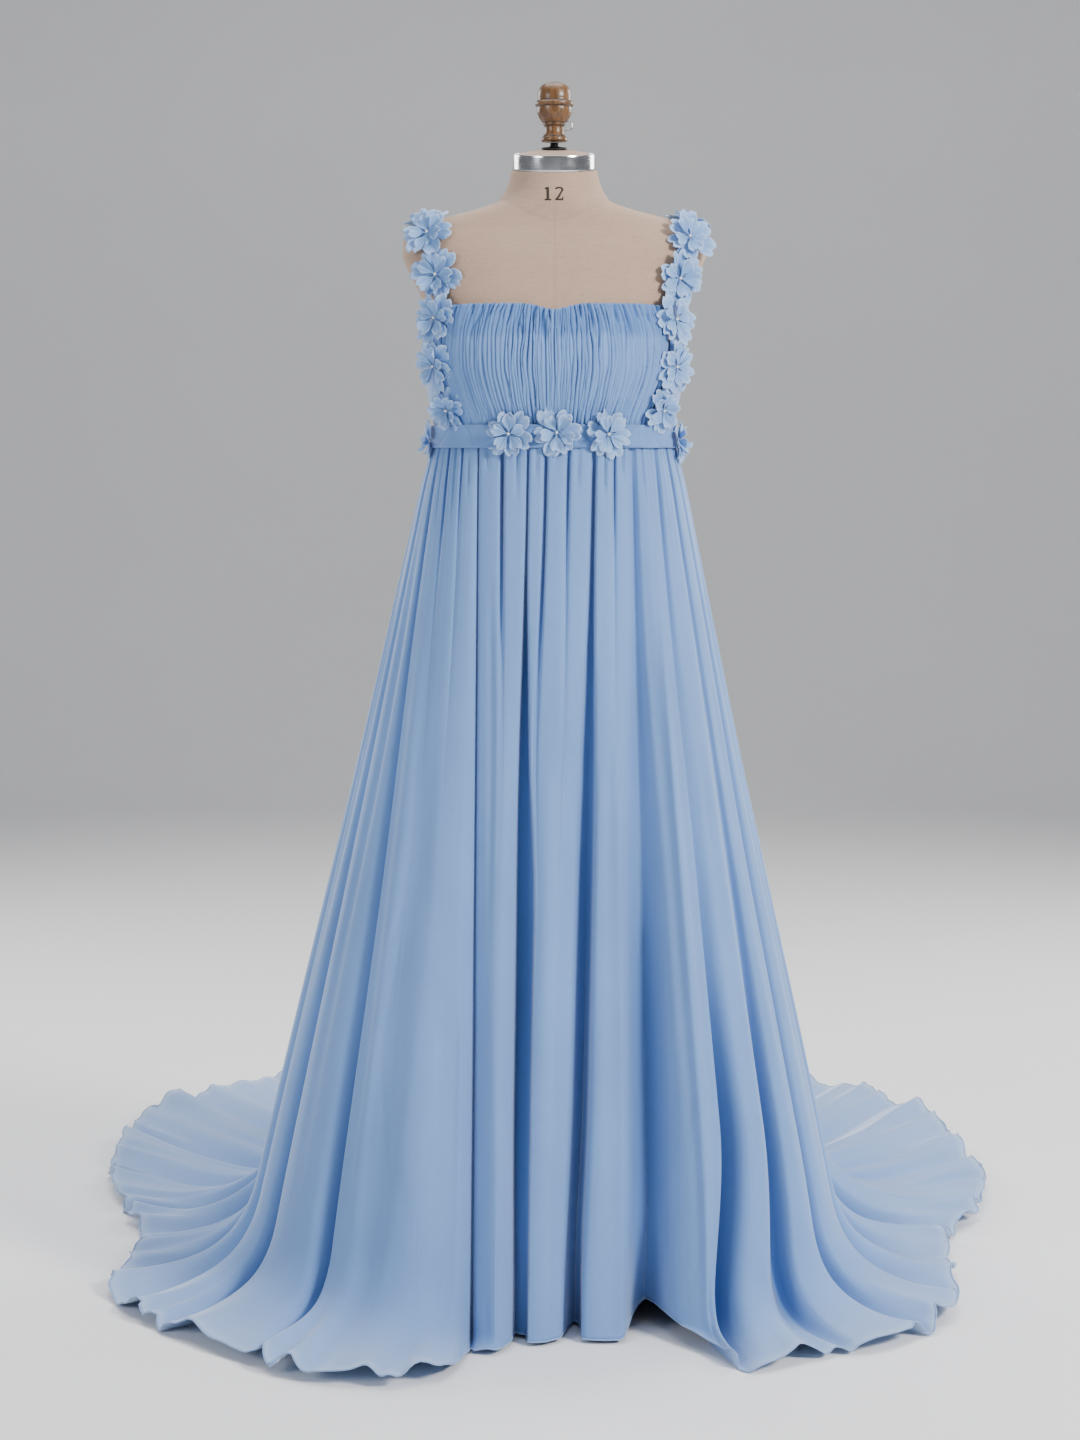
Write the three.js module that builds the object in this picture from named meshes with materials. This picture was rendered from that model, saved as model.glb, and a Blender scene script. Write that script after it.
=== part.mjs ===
// A maternity gown on its dress form: a ruched bust, flower-covered straps and waistband, and a long gathered skirt
// whose sides and back run out over the floor as a train.
// Millimetres, +Z up. The origin is on the floor under the form's pole, and the front faces -Y.
// Left and right are as seen from the front, so left is -X. Angles are in degrees around the pole, 0 at the front and
// positive towards +X.

import * as THREE from "three";

// ---------------------------------------------------------------- driving dimensions

const WALL = 2; // cloth wall of the bodice, skirt and waistband
const TRIM_WALL = 1.4; // cloth wall of the straps and flowers
const GAP = 0.3; // between pieces that touch or are sewn together
const FLOOR_GAP = 0.3; // under cloth that lies on the floor

const WAIST_Z = 1145; // seam between bodice and skirt, behind the waistband
const BAND_LOW_Z = 1130;
const BAND_HIGH_Z = 1159;

const BUST_PLEATS = 56;
const PLEAT_DEPTH = 2.2;

const BACK_FOLDS = 18;
const HEM_WAVE_PITCH = 82; // length along the hem of one ruffle wave

const BASE_RADIUS = 175;
const POLE_RADIUS = 13;
const TORSO_BOTTOM_Z = 790;

// The body that the bodice is cut for: half width, depth in front of the pole and behind it, and how square the
// section is. "seam" is the angle of the seam between the ruched front and the plain back.
const BODICE = [
  { z: 1130, half: 160, front: 116, back: 103, square: 2.2, seam: 57 },
  { z: 1160, half: 161, front: 119, back: 104, square: 2.2, seam: 57 },
  { z: 1200, half: 168, front: 131, back: 106, square: 2.25, seam: 59.5 },
  { z: 1235, half: 173, front: 138, back: 108, square: 2.35, seam: 61 },
  { z: 1268, half: 175, front: 135, back: 109, square: 2.4, seam: 61.5 },
  { z: 1300, half: 176, front: 126, back: 109, square: 2.4, seam: 61 },
  { z: 1320, half: 178, front: 118, back: 109, square: 2.4, seam: 60 },
];

// The dress form, from its lower edge to the top of its neck. "lean" moves a section forwards (-Y) or back.
const TORSO = [
  { z: 790, half: 158, front: 96, back: 118, square: 2.2, lean: 0 },
  { z: 800, half: 165, front: 103, back: 124, square: 2.2, lean: 0 },
  { z: 860, half: 172, front: 108, back: 124, square: 2.2, lean: 0 },
  { z: 940, half: 156, front: 104, back: 108, square: 2.1, lean: 0 },
  { z: 1030, half: 132, front: 96, back: 88, square: 2.1, lean: 0 },
  { z: 1100, half: 141, front: 99, back: 91, square: 2.1, lean: 0 },
  { z: 1150, half: 152, front: 107, back: 95, square: 2.2, lean: 0 },
  { z: 1200, half: 161, front: 124, back: 99, square: 2.25, lean: 0 },
  { z: 1235, half: 166, front: 131, back: 101, square: 2.35, lean: 0 },
  { z: 1270, half: 167, front: 127, back: 102, square: 2.4, lean: 0 },
  { z: 1300, half: 168, front: 116, back: 101, square: 2.4, lean: 0 },
  { z: 1345, half: 184, front: 97, back: 97, square: 2.4, lean: 0 },
  { z: 1385, half: 201, front: 80, back: 86, square: 2.4, lean: 2 },
  { z: 1405, half: 200, front: 68, back: 75, square: 2.3, lean: 4 },
  { z: 1420, half: 182, front: 60, back: 66, square: 2.2, lean: 5 },
  { z: 1432, half: 148, front: 58, back: 62, square: 2.1, lean: 5 },
  { z: 1443, half: 106, front: 59, back: 60, square: 2.0, lean: 4 },
  { z: 1454, half: 76, front: 60, back: 59, square: 2.0, lean: 2 },
  { z: 1470, half: 64, front: 58, back: 57, square: 2.0, lean: 0 },
  { z: 1496, half: 56, front: 54, back: 54, square: 2.0, lean: 0 },
];
const NECK_TILT = 9; // degrees that the top of the neck leans forwards
const TORSO_COLUMNS = 28;

// The skirt in plan: where the cloth that leaves the waist at "at" degrees has its hem, how far out it would meet the
// floor if it hung straight ("drop"), the radius of its turn onto the floor ("bend") and how far its hem is lifted.
const SKIRT_PLAN = [
  { at: -180, hemX: 0, hemY: 1270, drop: 330, bend: 380, lift: 0 },
  { at: -168, hemX: -250, hemY: 1245, drop: 330, bend: 380, lift: 0 },
  { at: -157, hemX: -470, hemY: 1160, drop: 325, bend: 370, lift: 0 },
  { at: -146, hemX: -635, hemY: 1010, drop: 315, bend: 360, lift: 0 },
  { at: -134, hemX: -705, hemY: 770, drop: 305, bend: 350, lift: 0 },
  { at: -122, hemX: -690, hemY: 500, drop: 295, bend: 330, lift: 0 },
  { at: -110, hemX: -625, hemY: 270, drop: 280, bend: 310, lift: 0 },
  { at: -100, hemX: -580, hemY: 95, drop: 268, bend: 300, lift: 0 },
  { at: -90, hemX: -598, hemY: -50, drop: 271, bend: 290, lift: 0 },
  { at: -84, hemX: -560, hemY: -170, drop: 271, bend: 280, lift: 0 },
  { at: -78, hemX: -490, hemY: -265, drop: 271, bend: 260, lift: 0 },
  { at: -72, hemX: -395, hemY: -356, drop: 271, bend: 240, lift: 0 },
  { at: -66, hemX: -318, hemY: -430, drop: 271, bend: 220, lift: 0 },
  { at: -57, hemX: -222, hemY: -460, drop: 266, bend: 200, lift: 0 },
  { at: -49, hemX: -140, hemY: -446, drop: 250, bend: 180, lift: 0 },
  { at: -45, hemX: -104, hemY: -335, drop: 215, bend: 60, lift: 2 },
  { at: -32, hemX: -74, hemY: -325, drop: 200, bend: 40, lift: 4 },
  { at: -16, hemX: -48, hemY: -290, drop: 172, bend: 30, lift: 6 },
  { at: 4, hemX: -12, hemY: -280, drop: 162, bend: 30, lift: 6 },
  { at: 26, hemX: 34, hemY: -270, drop: 158, bend: 30, lift: 6 },
  { at: 38, hemX: 82, hemY: -268, drop: 165, bend: 30, lift: 6 },
  { at: 47, hemX: 130, hemY: -262, drop: 175, bend: 30, lift: 48 },
  { at: 54, hemX: 196, hemY: -335, drop: 230, bend: 60, lift: 14 },
  { at: 59, hemX: 240, hemY: -402, drop: 250, bend: 150, lift: 0 },
  { at: 65, hemX: 325, hemY: -355, drop: 252, bend: 220, lift: 0 },
  { at: 71, hemX: 420, hemY: -310, drop: 251, bend: 240, lift: 0 },
  { at: 78, hemX: 500, hemY: -225, drop: 247, bend: 260, lift: 0 },
  { at: 84, hemX: 535, hemY: -120, drop: 240, bend: 270, lift: 0 },
  { at: 90, hemX: 545, hemY: -10, drop: 237, bend: 280, lift: 0 },
  { at: 100, hemX: 555, hemY: 130, drop: 243, bend: 290, lift: 0 },
  { at: 110, hemX: 620, hemY: 270, drop: 268, bend: 310, lift: 0 },
  { at: 122, hemX: 662, hemY: 480, drop: 290, bend: 330, lift: 0 },
  { at: 134, hemX: 655, hemY: 740, drop: 305, bend: 350, lift: 0 },
  { at: 146, hemX: 590, hemY: 985, drop: 315, bend: 360, lift: 0 },
  { at: 157, hemX: 450, hemY: 1145, drop: 325, bend: 370, lift: 0 },
  { at: 168, hemX: 245, hemY: 1240, drop: 330, bend: 380, lift: 0 },
  { at: 180, hemX: 0, hemY: 1270, drop: 330, bend: 380, lift: 0 },
];

// Valleys between the skirt's folds, front half: where each leaves the waist, its half width in degrees there and at
// the floor, and its depth at the waist, half way down and at the floor.
const FRONT_FOLDS = [
  { at: -86, wideTop: 2.0, wideLow: 2.6, deepTop: 4, deepMid: 20, deepLow: 40 },
  { at: -79, wideTop: 1.8, wideLow: 2.2, deepTop: 5, deepMid: 26, deepLow: 52 },
  { at: -71.5, wideTop: 1.8, wideLow: 1.9, deepTop: 5, deepMid: 26, deepLow: 50 },
  { at: -63, wideTop: 1.8, wideLow: 3.0, deepTop: 5, deepMid: 7, deepLow: 6 },
  { at: -54.5, wideTop: 2.0, wideLow: 2.4, deepTop: 5, deepMid: 3, deepLow: 4 },
  { at: -45.5, wideTop: 2.2, wideLow: 3.2, deepTop: 5, deepMid: 26, deepLow: 44 },
  { at: -31.5, wideTop: 2.6, wideLow: 4.0, deepTop: 5, deepMid: 8, deepLow: 4 },
  { at: -16.5, wideTop: 2.6, wideLow: 6.0, deepTop: 5, deepMid: 38, deepLow: 52 },
  { at: -5, wideTop: 2.4, wideLow: 3.0, deepTop: 5, deepMid: 12, deepLow: 3 },
  { at: 9, wideTop: 2.6, wideLow: 5.0, deepTop: 5, deepMid: 8, deepLow: 6 },
  { at: 24.5, wideTop: 2.8, wideLow: 7.0, deepTop: 5, deepMid: 36, deepLow: 46 },
  { at: 36.5, wideTop: 2.4, wideLow: 3.0, deepTop: 5, deepMid: 4, deepLow: 3 },
  { at: 46.5, wideTop: 2.6, wideLow: 4.6, deepTop: 5, deepMid: 26, deepLow: 40 },
  { at: 60.5, wideTop: 2.2, wideLow: 2.8, deepTop: 5, deepMid: 26, deepLow: 50 },
  { at: 69.5, wideTop: 2.0, wideLow: 2.2, deepTop: 5, deepMid: 14, deepLow: 40 },
  { at: 76.5, wideTop: 1.8, wideLow: 2.2, deepTop: 4, deepMid: 12, deepLow: 34 },
  { at: 85, wideTop: 2.0, wideLow: 2.8, deepTop: 4, deepMid: 16, deepLow: 40 },
];
const BACK_FOLD_SHAPE = { wideTop: 2.2, wideLow: 2.9, deepTop: 5, deepMid: 24, deepLow: 46 };
const BACK_FOLD_SPREAD = 0.258; // how far a back fold strays from even spacing, as a share of that spacing
const BACK_FOLD_VARIETY = 0.25; // how far its size strays, as a share of that size

const CROWN_SHARE = 0.12; // how far a ridge stands out, as a share of its width
const CROWN_LIMIT = 11;
const TRAIN_LOFT = 40; // how high a fold stands where it turns onto the floor
const HEM_LOFT = 12; // and at its hem
const TRAIN_WAVE = 12; // height of a ruffle wave at the hem of the train
const TRAIN_SCALLOP = 9; // how far a wave swings in and out along the floor

// Rows of the skirt's mesh, as shares of the length from waist to hem. The fine rows carry the hem's ruffle.
const SKIRT_ROWS = [0, 0.05, 0.18, 0.33, 0.48, 0.61, 0.72, 0.82, 0.91];
const HEM_ROWS = [0.965, 1];
const SIDE_SEAM = 92; // angle of the skirt's side seams, on the ridge behind the last front fold

// The straps' centre lines, from the waistband up the front, over the shoulder and down the back. The right strap
// sits a little further out on the shoulder than the left one.
const STRAP_FRONT = [
  { z: 1163, left: 138, right: 143 },
  { z: 1195, left: 149, right: 154 },
  { z: 1230, left: 158, right: 164 },
  { z: 1270, left: 158, right: 169 },
  { z: 1310, left: 156, right: 171 },
  { z: 1350, left: 160, right: 176 },
  { z: 1385, left: 165, right: 180 },
];
const STRAP_SHOULDER = [
  { y: -52, z: 1412, left: 167, right: 180 },
  { y: -28, z: 1424, left: 168, right: 180 },
  { y: 0, z: 1428, left: 168, right: 179 },
  { y: 28, z: 1424, left: 167, right: 177 },
  { y: 52, z: 1412, left: 165, right: 174 },
];
const STRAP_BACK = [
  { z: 1380, left: 160, right: 166 },
  { z: 1340, left: 148, right: 151 },
  { z: 1300, left: 134, right: 135 },
  { z: 1264, left: 123, right: 123 },
];
const STRAP_WIDTH = 26;
const STRAP_STEPS = 40;
const BODICE_LEVELS = [1275, 1225, 1165]; // rows of the bodice's mesh between its edges
const BACK_TOP_Z = 1275; // top edge of the plain back, under the arms and across
const FRONT_TOP_Z = 1316;
const SWEETHEART_DIP = 11;

// Flowers on the straps, as shares of the strap's length from the waistband, and on the waistband by angle.
const STRAP_FLOWERS = [
  { at: 0.03, radius: 25, spin: 10 },
  { at: 0.145, radius: 27, spin: 40 },
  { at: 0.265, radius: 28, spin: 5 },
  { at: 0.378, radius: 28, spin: 50 },
  { at: 0.493, radius: 28, spin: 20 },
  { at: 0.6, radius: 27, spin: 0 },
  { at: 0.715, radius: 27, spin: 35 },
  { at: 0.835, radius: 27, spin: 15 },
  { at: 0.95, radius: 26, spin: 60 },
];
const BAND_FLOWERS = [
  { at: -82, radius: 25, spin: 12, z: 1139 },
  { at: -27, radius: 30, spin: 30, z: 1147 },
  { at: 1.5, radius: 30, spin: 55, z: 1149 },
  { at: 32, radius: 30, spin: 5, z: 1147 },
  { at: 82, radius: 26, spin: 42, z: 1138 },
  { at: 118, radius: 27, spin: 20, z: 1146 },
  { at: 158, radius: 27, spin: 48, z: 1146 },
  { at: -158, radius: 27, spin: 28, z: 1146 },
  { at: -118, radius: 27, spin: 60, z: 1146 },
];
const PETALS = 5;
const PETAL_CORNERS = [0, 15, 57]; // degrees of a petal's notch and of its two outer corners, out of 72
const FACE_FRONT = 0.35; // how far strap flowers in front turn from their strap towards the front

// ---------------------------------------------------------------- numbers and curves

const radians = THREE.MathUtils.degToRad;
const clamp = THREE.MathUtils.clamp;
const lerp = THREE.MathUtils.lerp;

// A smooth curve through a table's rows that never overshoots them: rows are sorted by column "key".
function tableCurve(rows, key, column) {
  const xs = rows.map((row) => row[key]);
  const ys = rows.map((row) => row[column]);
  const last = xs.length - 1;
  const step = xs.slice(1).map((x, i) => x - xs[i]);
  const rise = step.map((h, i) => (ys[i + 1] - ys[i]) / h);
  const tangent = xs.map((_, i) => {
    if (i === 0 || i === last) return rise[Math.min(i, last - 1)];
    if (rise[i - 1] * rise[i] <= 0) return 0;
    const before = 2 * step[i] + step[i - 1];
    const after = step[i] + 2 * step[i - 1];
    return (before + after) / (before / rise[i - 1] + after / rise[i]);
  });
  return (x) => {
    const at = clamp(x, xs[0], xs[last]);
    let i = 0;
    while (i < last - 1 && at > xs[i + 1]) i += 1;
    const h = step[i];
    const t = (at - xs[i]) / h;
    const t2 = t * t;
    const t3 = t2 * t;
    return (
      ys[i] * (2 * t3 - 3 * t2 + 1) +
      tangent[i] * h * (t3 - 2 * t2 + t) +
      ys[i + 1] * (3 * t2 - 2 * t3) +
      tangent[i + 1] * h * (t3 - t2)
    );
  };
}

function tableCurves(rows, key, columns) {
  return Object.fromEntries(columns.map((column) => [column, tableCurve(rows, key, column)]));
}

// 1 at the middle of a fold and 0 from its half width outwards.
function bell(distance, halfWidth) {
  const x = Math.abs(distance) / halfWidth;
  return x >= 1 ? 0 : (1 - x * x) ** 2;
}

function smooth(from, to, value) {
  return THREE.MathUtils.smoothstep(value, from, to);
}

// A repeatable number from -1 to 1 for the index of a fold.
function jitter(index, salt) {
  const x = Math.sin(index * 12.9898 + salt * 78.233) * 43758.5453;
  return 2 * (x - Math.floor(x)) - 1;
}

// The distance from the pole to a section's edge in the direction of an angle.
function sectionRadius(angle, half, front, back, square) {
  const s = Math.abs(Math.sin(radians(angle)));
  const c = Math.cos(radians(angle));
  const depth = c > 0 ? front : back;
  return ((s / half) ** square + (Math.abs(c) / depth) ** square) ** (-1 / square);
}

function around(angle, radius, z) {
  return new THREE.Vector3(radius * Math.sin(radians(angle)), -radius * Math.cos(radians(angle)), z);
}

// ---------------------------------------------------------------- meshes

// Triangles of a grid of rows of point numbers, facing out where columns run anticlockwise and rows run down.
// A row may have the same number of columns as the row above it, or one point more in each space.
function gridTriangles(rows) {
  const triangles = [];
  rows.slice(1).forEach((low, i) => {
    const high = rows[i];
    for (let j = 0; j + 1 < high.length; j += 1) {
      if (low.length === high.length) {
        triangles.push([high[j], low[j], low[j + 1]], [high[j], low[j + 1], high[j + 1]]);
      } else {
        const k = 2 * j;
        triangles.push([high[j], low[k], low[k + 1]]);
        triangles.push([high[j], low[k + 1], high[j + 1]]);
        triangles.push([high[j + 1], low[k + 1], low[k + 2]]);
      }
    }
  });
  return triangles;
}

// The direction out of the surface at each point, as long as a wall of thickness 1 needs at its bends.
function outwardSteps(points, triangles) {
  const faceNormals = triangles.map(([a, b, c]) => {
    const ab = new THREE.Vector3().subVectors(points[b], points[a]);
    const ac = new THREE.Vector3().subVectors(points[c], points[a]);
    return ab.cross(ac).normalize();
  });
  const steps = points.map(() => new THREE.Vector3());
  triangles.forEach((triangle, i) => triangle.forEach((p) => steps[p].add(faceNormals[i])));
  steps.forEach((step) => step.normalize());
  const tightest = points.map(() => 1);
  triangles.forEach((triangle, i) =>
    triangle.forEach((p) => {
      tightest[p] = Math.min(tightest[p], steps[p].dot(faceNormals[i]));
    }),
  );
  return steps.map((step, p) => step.multiplyScalar(1 / Math.max(tightest[p], 0.7)));
}

// A closed wall between an outer surface and an inner one that has the same triangles. Its rim is split the same way
// whichever side of an edge the wall is on, so two walls that share a seam fit each other.
function wallGeometry(outer, inner, triangles) {
  const used = [...new Set(triangles.flat())];
  const place = new Map(used.map((p, i) => [p, i]));
  const n = used.length;
  const vertices = [...used.map((p) => outer[p]), ...used.map((p) => inner[p])];
  const faces = [];
  const edges = new Set();
  triangles.forEach((triangle) => {
    const [a, b, c] = triangle.map((p) => place.get(p));
    faces.push([a, b, c], [n + c, n + b, n + a]);
    triangle.forEach((p, i) => edges.add(`${p} ${triangle[(i + 1) % 3]}`));
  });
  edges.forEach((edge) => {
    const [from, to] = edge.split(" ").map(Number);
    if (edges.has(`${to} ${from}`)) return;
    const [p, q] = [place.get(from), place.get(to)];
    if (from < to) faces.push([q, p, n + q], [p, n + p, n + q]);
    else faces.push([q, p, n + p], [q, n + p, n + q]);
  });
  return new THREE.BufferGeometry().setFromPoints(vertices).setIndex(faces.flat());
}

// A wall on a grid of outer points, given as rows. "wrap" joins the last column to the first.
function gridWall(rows, thickness, { wrap = false, innerRows = null } = {}) {
  const points = rows.flat();
  let next = 0;
  const numbers = rows.map((row) => row.map(() => next++));
  if (wrap) numbers.forEach((row) => row.push(row[0]));
  const triangles = gridTriangles(numbers);
  const steps = outwardSteps(points, triangles);
  const inner = innerRows
    ? innerRows.flat()
    : points.map((point, p) => point.clone().addScaledVector(steps[p], -thickness));
  return wallGeometry(points, inner, triangles);
}

// A solid from a stack of closed sections, each the same number of points, with a flat cap at each end.
function stackGeometry(sections) {
  const columns = sections[0].length;
  const points = sections.flat();
  const middles = [sections[0], sections.at(-1)].map((section) =>
    section.reduce((sum, p) => sum.add(p), new THREE.Vector3()).divideScalar(columns),
  );
  const bottom = points.push(middles[0]) - 1;
  const top = points.push(middles[1]) - 1;
  const faces = [];
  for (let i = 0; i < sections.length; i += 1) {
    for (let j = 0; j < columns; j += 1) {
      const k = (j + 1) % columns;
      const [a, b] = [i * columns + j, i * columns + k];
      if (i === 0) faces.push([bottom, b, a]);
      if (i === sections.length - 1) faces.push([top, a, b]);
      else faces.push([a, b, b + columns], [a, b + columns, a + columns]);
    }
  }
  return new THREE.BufferGeometry().setFromPoints(points).setIndex(faces.flat());
}

// A turned piece from its half outline, given from the axis at the bottom to the axis at the top.
function turnedGeometry(outline, segments) {
  const turned = new THREE.LatheGeometry(
    outline.map(([r, z]) => new THREE.Vector2(r, z)),
    segments,
  );
  return turned.rotateX(Math.PI / 2);
}

const gown = new THREE.Group();

function add(name, geometry, material) {
  const mesh = new THREE.Mesh(geometry, material);
  mesh.name = name;
  gown.add(mesh);
  return mesh;
}

// ---------------------------------------------------------------- materials

const chiffon = new THREE.MeshStandardMaterial({ color: 0x9dbce4, roughness: 0.75, metalness: 0 });
const petalCloth = new THREE.MeshStandardMaterial({ color: 0xa4c0e6, roughness: 0.8, metalness: 0 });
const linen = new THREE.MeshStandardMaterial({ color: 0xcbb7a5, roughness: 0.9, metalness: 0 });
const chrome = new THREE.MeshStandardMaterial({ color: 0xc8c8cc, roughness: 0.15, metalness: 1 });
const blackMetal = new THREE.MeshStandardMaterial({ color: 0x1c1a1a, roughness: 0.45, metalness: 0.7 });
const turnedWood = new THREE.MeshStandardMaterial({ color: 0x8a5426, roughness: 0.35, metalness: 0 });

// ---------------------------------------------------------------- dress form

const torso = tableCurves(TORSO, "z", ["half", "front", "back", "square", "lean"]);

function torsoPoint(angle, z) {
  const radius = sectionRadius(angle, torso.half(z), torso.front(z), torso.back(z), torso.square(z));
  const point = around(angle, radius, z);
  point.y -= torso.lean(z);
  const neck = smooth(1454, 1496, z);
  point.z += neck * point.y * Math.tan(radians(NECK_TILT));
  return point;
}

function columnAngles(count, from = -180, to = 180) {
  return Array.from({ length: count }, (_, i) => lerp(from, to, i / count));
}

function makeTorso() {
  const angles = columnAngles(TORSO_COLUMNS);
  const sections = TORSO.map(({ z }) => angles.map((angle) => torsoPoint(angle, z)));
  add("form_torso", stackGeometry(sections), linen);
}

function makeNeckAndFinial() {
  const neckTop = TORSO.at(-1).z;
  const ringRadius = 55;
  const ringHeight = 21;
  const tilted = new THREE.Group();
  tilted.position.z = neckTop;
  tilted.rotation.x = radians(NECK_TILT);
  gown.add(tilted);
  const ring = turnedGeometry(
    [
      [ringRadius - 2, GAP],
      [ringRadius, GAP],
      [ringRadius, ringHeight],
      [ringRadius - 2, ringHeight],
      [ringRadius - 2, GAP],
    ],
    24,
  );
  const cap = turnedGeometry(
    [
      [0, GAP],
      [ringRadius - 2 - GAP, GAP],
      [ringRadius - 2 - GAP, ringHeight - 2],
      [38, ringHeight + 2],
      [19, ringHeight + 5],
      [0, ringHeight + 5],
    ],
    24,
  );
  tilted.add(Object.assign(new THREE.Mesh(ring, chrome), { name: "form_neck_ring" }));
  tilted.add(Object.assign(new THREE.Mesh(cap, linen), { name: "form_neck_cap" }));

  // The washer and stem lie square on the tilted cap, and the knob stands upright on the stem.
  const capTop = ringHeight + 5 + GAP;
  const stemTop = capTop + 9;
  const stem = turnedGeometry(
    [
      [0, capTop],
      [17, capTop],
      [17, capTop + 3],
      [6, capTop + 4],
      [6, stemTop],
      [0, stemTop],
    ],
    16,
  );
  tilted.add(Object.assign(new THREE.Mesh(stem, blackMetal), { name: "finial_stem" }));

  const knobZ = 1532.2;
  const knobY = -(stemTop * Math.sin(radians(NECK_TILT)));
  const knob = turnedGeometry(
    [
      [0, 0],
      [17, 0],
      [17, 5],
      [14, 9],
      [12.5, 13],
      [12.5, 19],
      [15, 24],
      [21, 32],
      [23, 41],
      [23, 45],
      [25.5, 48],
      [25.5, 50],
      [22.5, 53],
      [22, 60],
      [20.5, 68],
      [15, 74],
      [7, 77],
      [0, 77.5],
    ],
    16,
  );
  add("finial_knob", knob, turnedWood).position.set(0, knobY, knobZ);

  const loopPoints = [
    [13.5, 15],
    [17, 14.2],
    [20, 14],
    [22.5, 16],
    [23.5, 20],
    [22.5, 24],
    [19.5, 26],
    [17.5, 26.2],
  ].map(([x, z]) => new THREE.Vector3(x, knobY - 4, knobZ + z));
  add("finial_wire_hook", tubeGeometry(loopPoints, 0.8, 6, 10), chrome);
}

// A wire of round section along points, closed at both ends.
function tubeGeometry(points, radius, sides, steps) {
  const section = new THREE.Shape();
  section.absarc(0, 0, radius, 0, 2 * Math.PI);
  return new THREE.ExtrudeGeometry(section, {
    extrudePath: new THREE.CatmullRomCurve3(points),
    steps,
    curveSegments: sides / 2,
    bevelEnabled: false,
  });
}

function makeStand() {
  const hubTop = 64;
  const base = turnedGeometry(
    [
      [0, 0],
      [BASE_RADIUS, 0],
      [BASE_RADIUS, 5],
      [BASE_RADIUS - 6, 8],
      [60, 12],
      [30, 22],
      [24, hubTop],
      [0, hubTop],
    ],
    32,
  );
  add("stand_base", base, blackMetal);
  const pole = new THREE.CylinderGeometry(
    POLE_RADIUS,
    POLE_RADIUS,
    TORSO_BOTTOM_Z - hubTop - 2 * GAP,
    16,
  );
  pole.rotateX(Math.PI / 2);
  add("stand_pole", pole, blackMetal).position.z = (TORSO_BOTTOM_Z + hubTop) / 2;
}

// ---------------------------------------------------------------- bodice

const bodice = tableCurves(BODICE, "z", ["half", "front", "back", "square", "seam"]);

function bodicePoint(angle, z, out = 0) {
  const radius = sectionRadius(angle, bodice.half(z), bodice.front(z), bodice.back(z), bodice.square(z));
  return around(angle, radius + out, z);
}

function frontTop(angle) {
  return FRONT_TOP_Z - SWEETHEART_DIP * Math.exp(-((angle / 16) ** 2)) - 5 * smooth(42, 60, Math.abs(angle));
}

const SEAM_HALF_GAP = 0.05; // degrees

// Fine pleats from the neckline to the waist, drawn together at the waist, over a plain inside.
function makeBodiceFront() {
  const columns = 2 * BUST_PLEATS;
  const outer = [];
  const inner = [];
  [FRONT_TOP_Z, ...BODICE_LEVELS, WAIST_Z + GAP].forEach((level, row) => {
    const outerRow = [];
    const innerRow = [];
    for (let j = 0; j <= columns; j += 1) {
      const across = (2 * j) / columns - 1;
      const z = row === 0 ? frontTop(across * bodice.seam(level)) : level;
      const angle = across * (bodice.seam(z) - SEAM_HALF_GAP);
      const valley = j % 2 === 1 && j > 1 && j < columns - 1;
      const depth = PLEAT_DEPTH * (0.8 + 0.2 * jitter(j, 3));
      outerRow.push(bodicePoint(angle, z, valley ? -depth : 0));
      innerRow.push(bodicePoint(angle, z, -PLEAT_DEPTH - WALL * 0.6));
    }
    outer.push(outerRow);
    inner.push(innerRow);
  });
  add("bodice_front", gridWall(outer, WALL, { innerRows: inner }), chiffon);
}

// A plain half of the back, from the front's seam round under the arm to the centre back opening.
function makeBodiceBack(name, side) {
  const columns = 14;
  const outer = [...BODICE_LEVELS, WAIST_Z + GAP].map((z) => {
    const angles = Array.from({ length: columns + 1 }, (_, j) =>
      lerp(bodice.seam(z) + SEAM_HALF_GAP, 180 - SEAM_HALF_GAP, j / columns),
    );
    const turned = side > 0 ? angles : angles.map((angle) => -angle).reverse();
    return turned.map((angle) => bodicePoint(angle, z));
  });
  add(name, gridWall(outer, WALL), chiffon);
}

// One strip of cloth round the waist seam, open at the centre back.
function makeWaistband() {
  const columns = 56;
  const angles = Array.from({ length: columns + 1 }, (_, j) => lerp(-179.8, 179.8, j / columns));
  const levels = [BAND_HIGH_Z, WAIST_Z, BAND_LOW_Z];
  const rows = levels.map((z) => angles.map((angle) => bandPoint(angle, z)));
  add("waistband", gridWall(rows, WALL), chiffon);
}

const BAND_OUT = WALL + 1; // the band's outer face over the bodice

// The band's outer face: clear of the bodice above the seam and of the skirt's flare below it.
function bandPoint(angle, z) {
  const flare = Math.max(0, WAIST_Z - z) * skirtFlare(angle);
  return bodicePoint(angle, Math.max(z, WAIST_Z), BAND_OUT + 1.15 * flare).setZ(z);
}

// ---------------------------------------------------------------- straps

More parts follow.
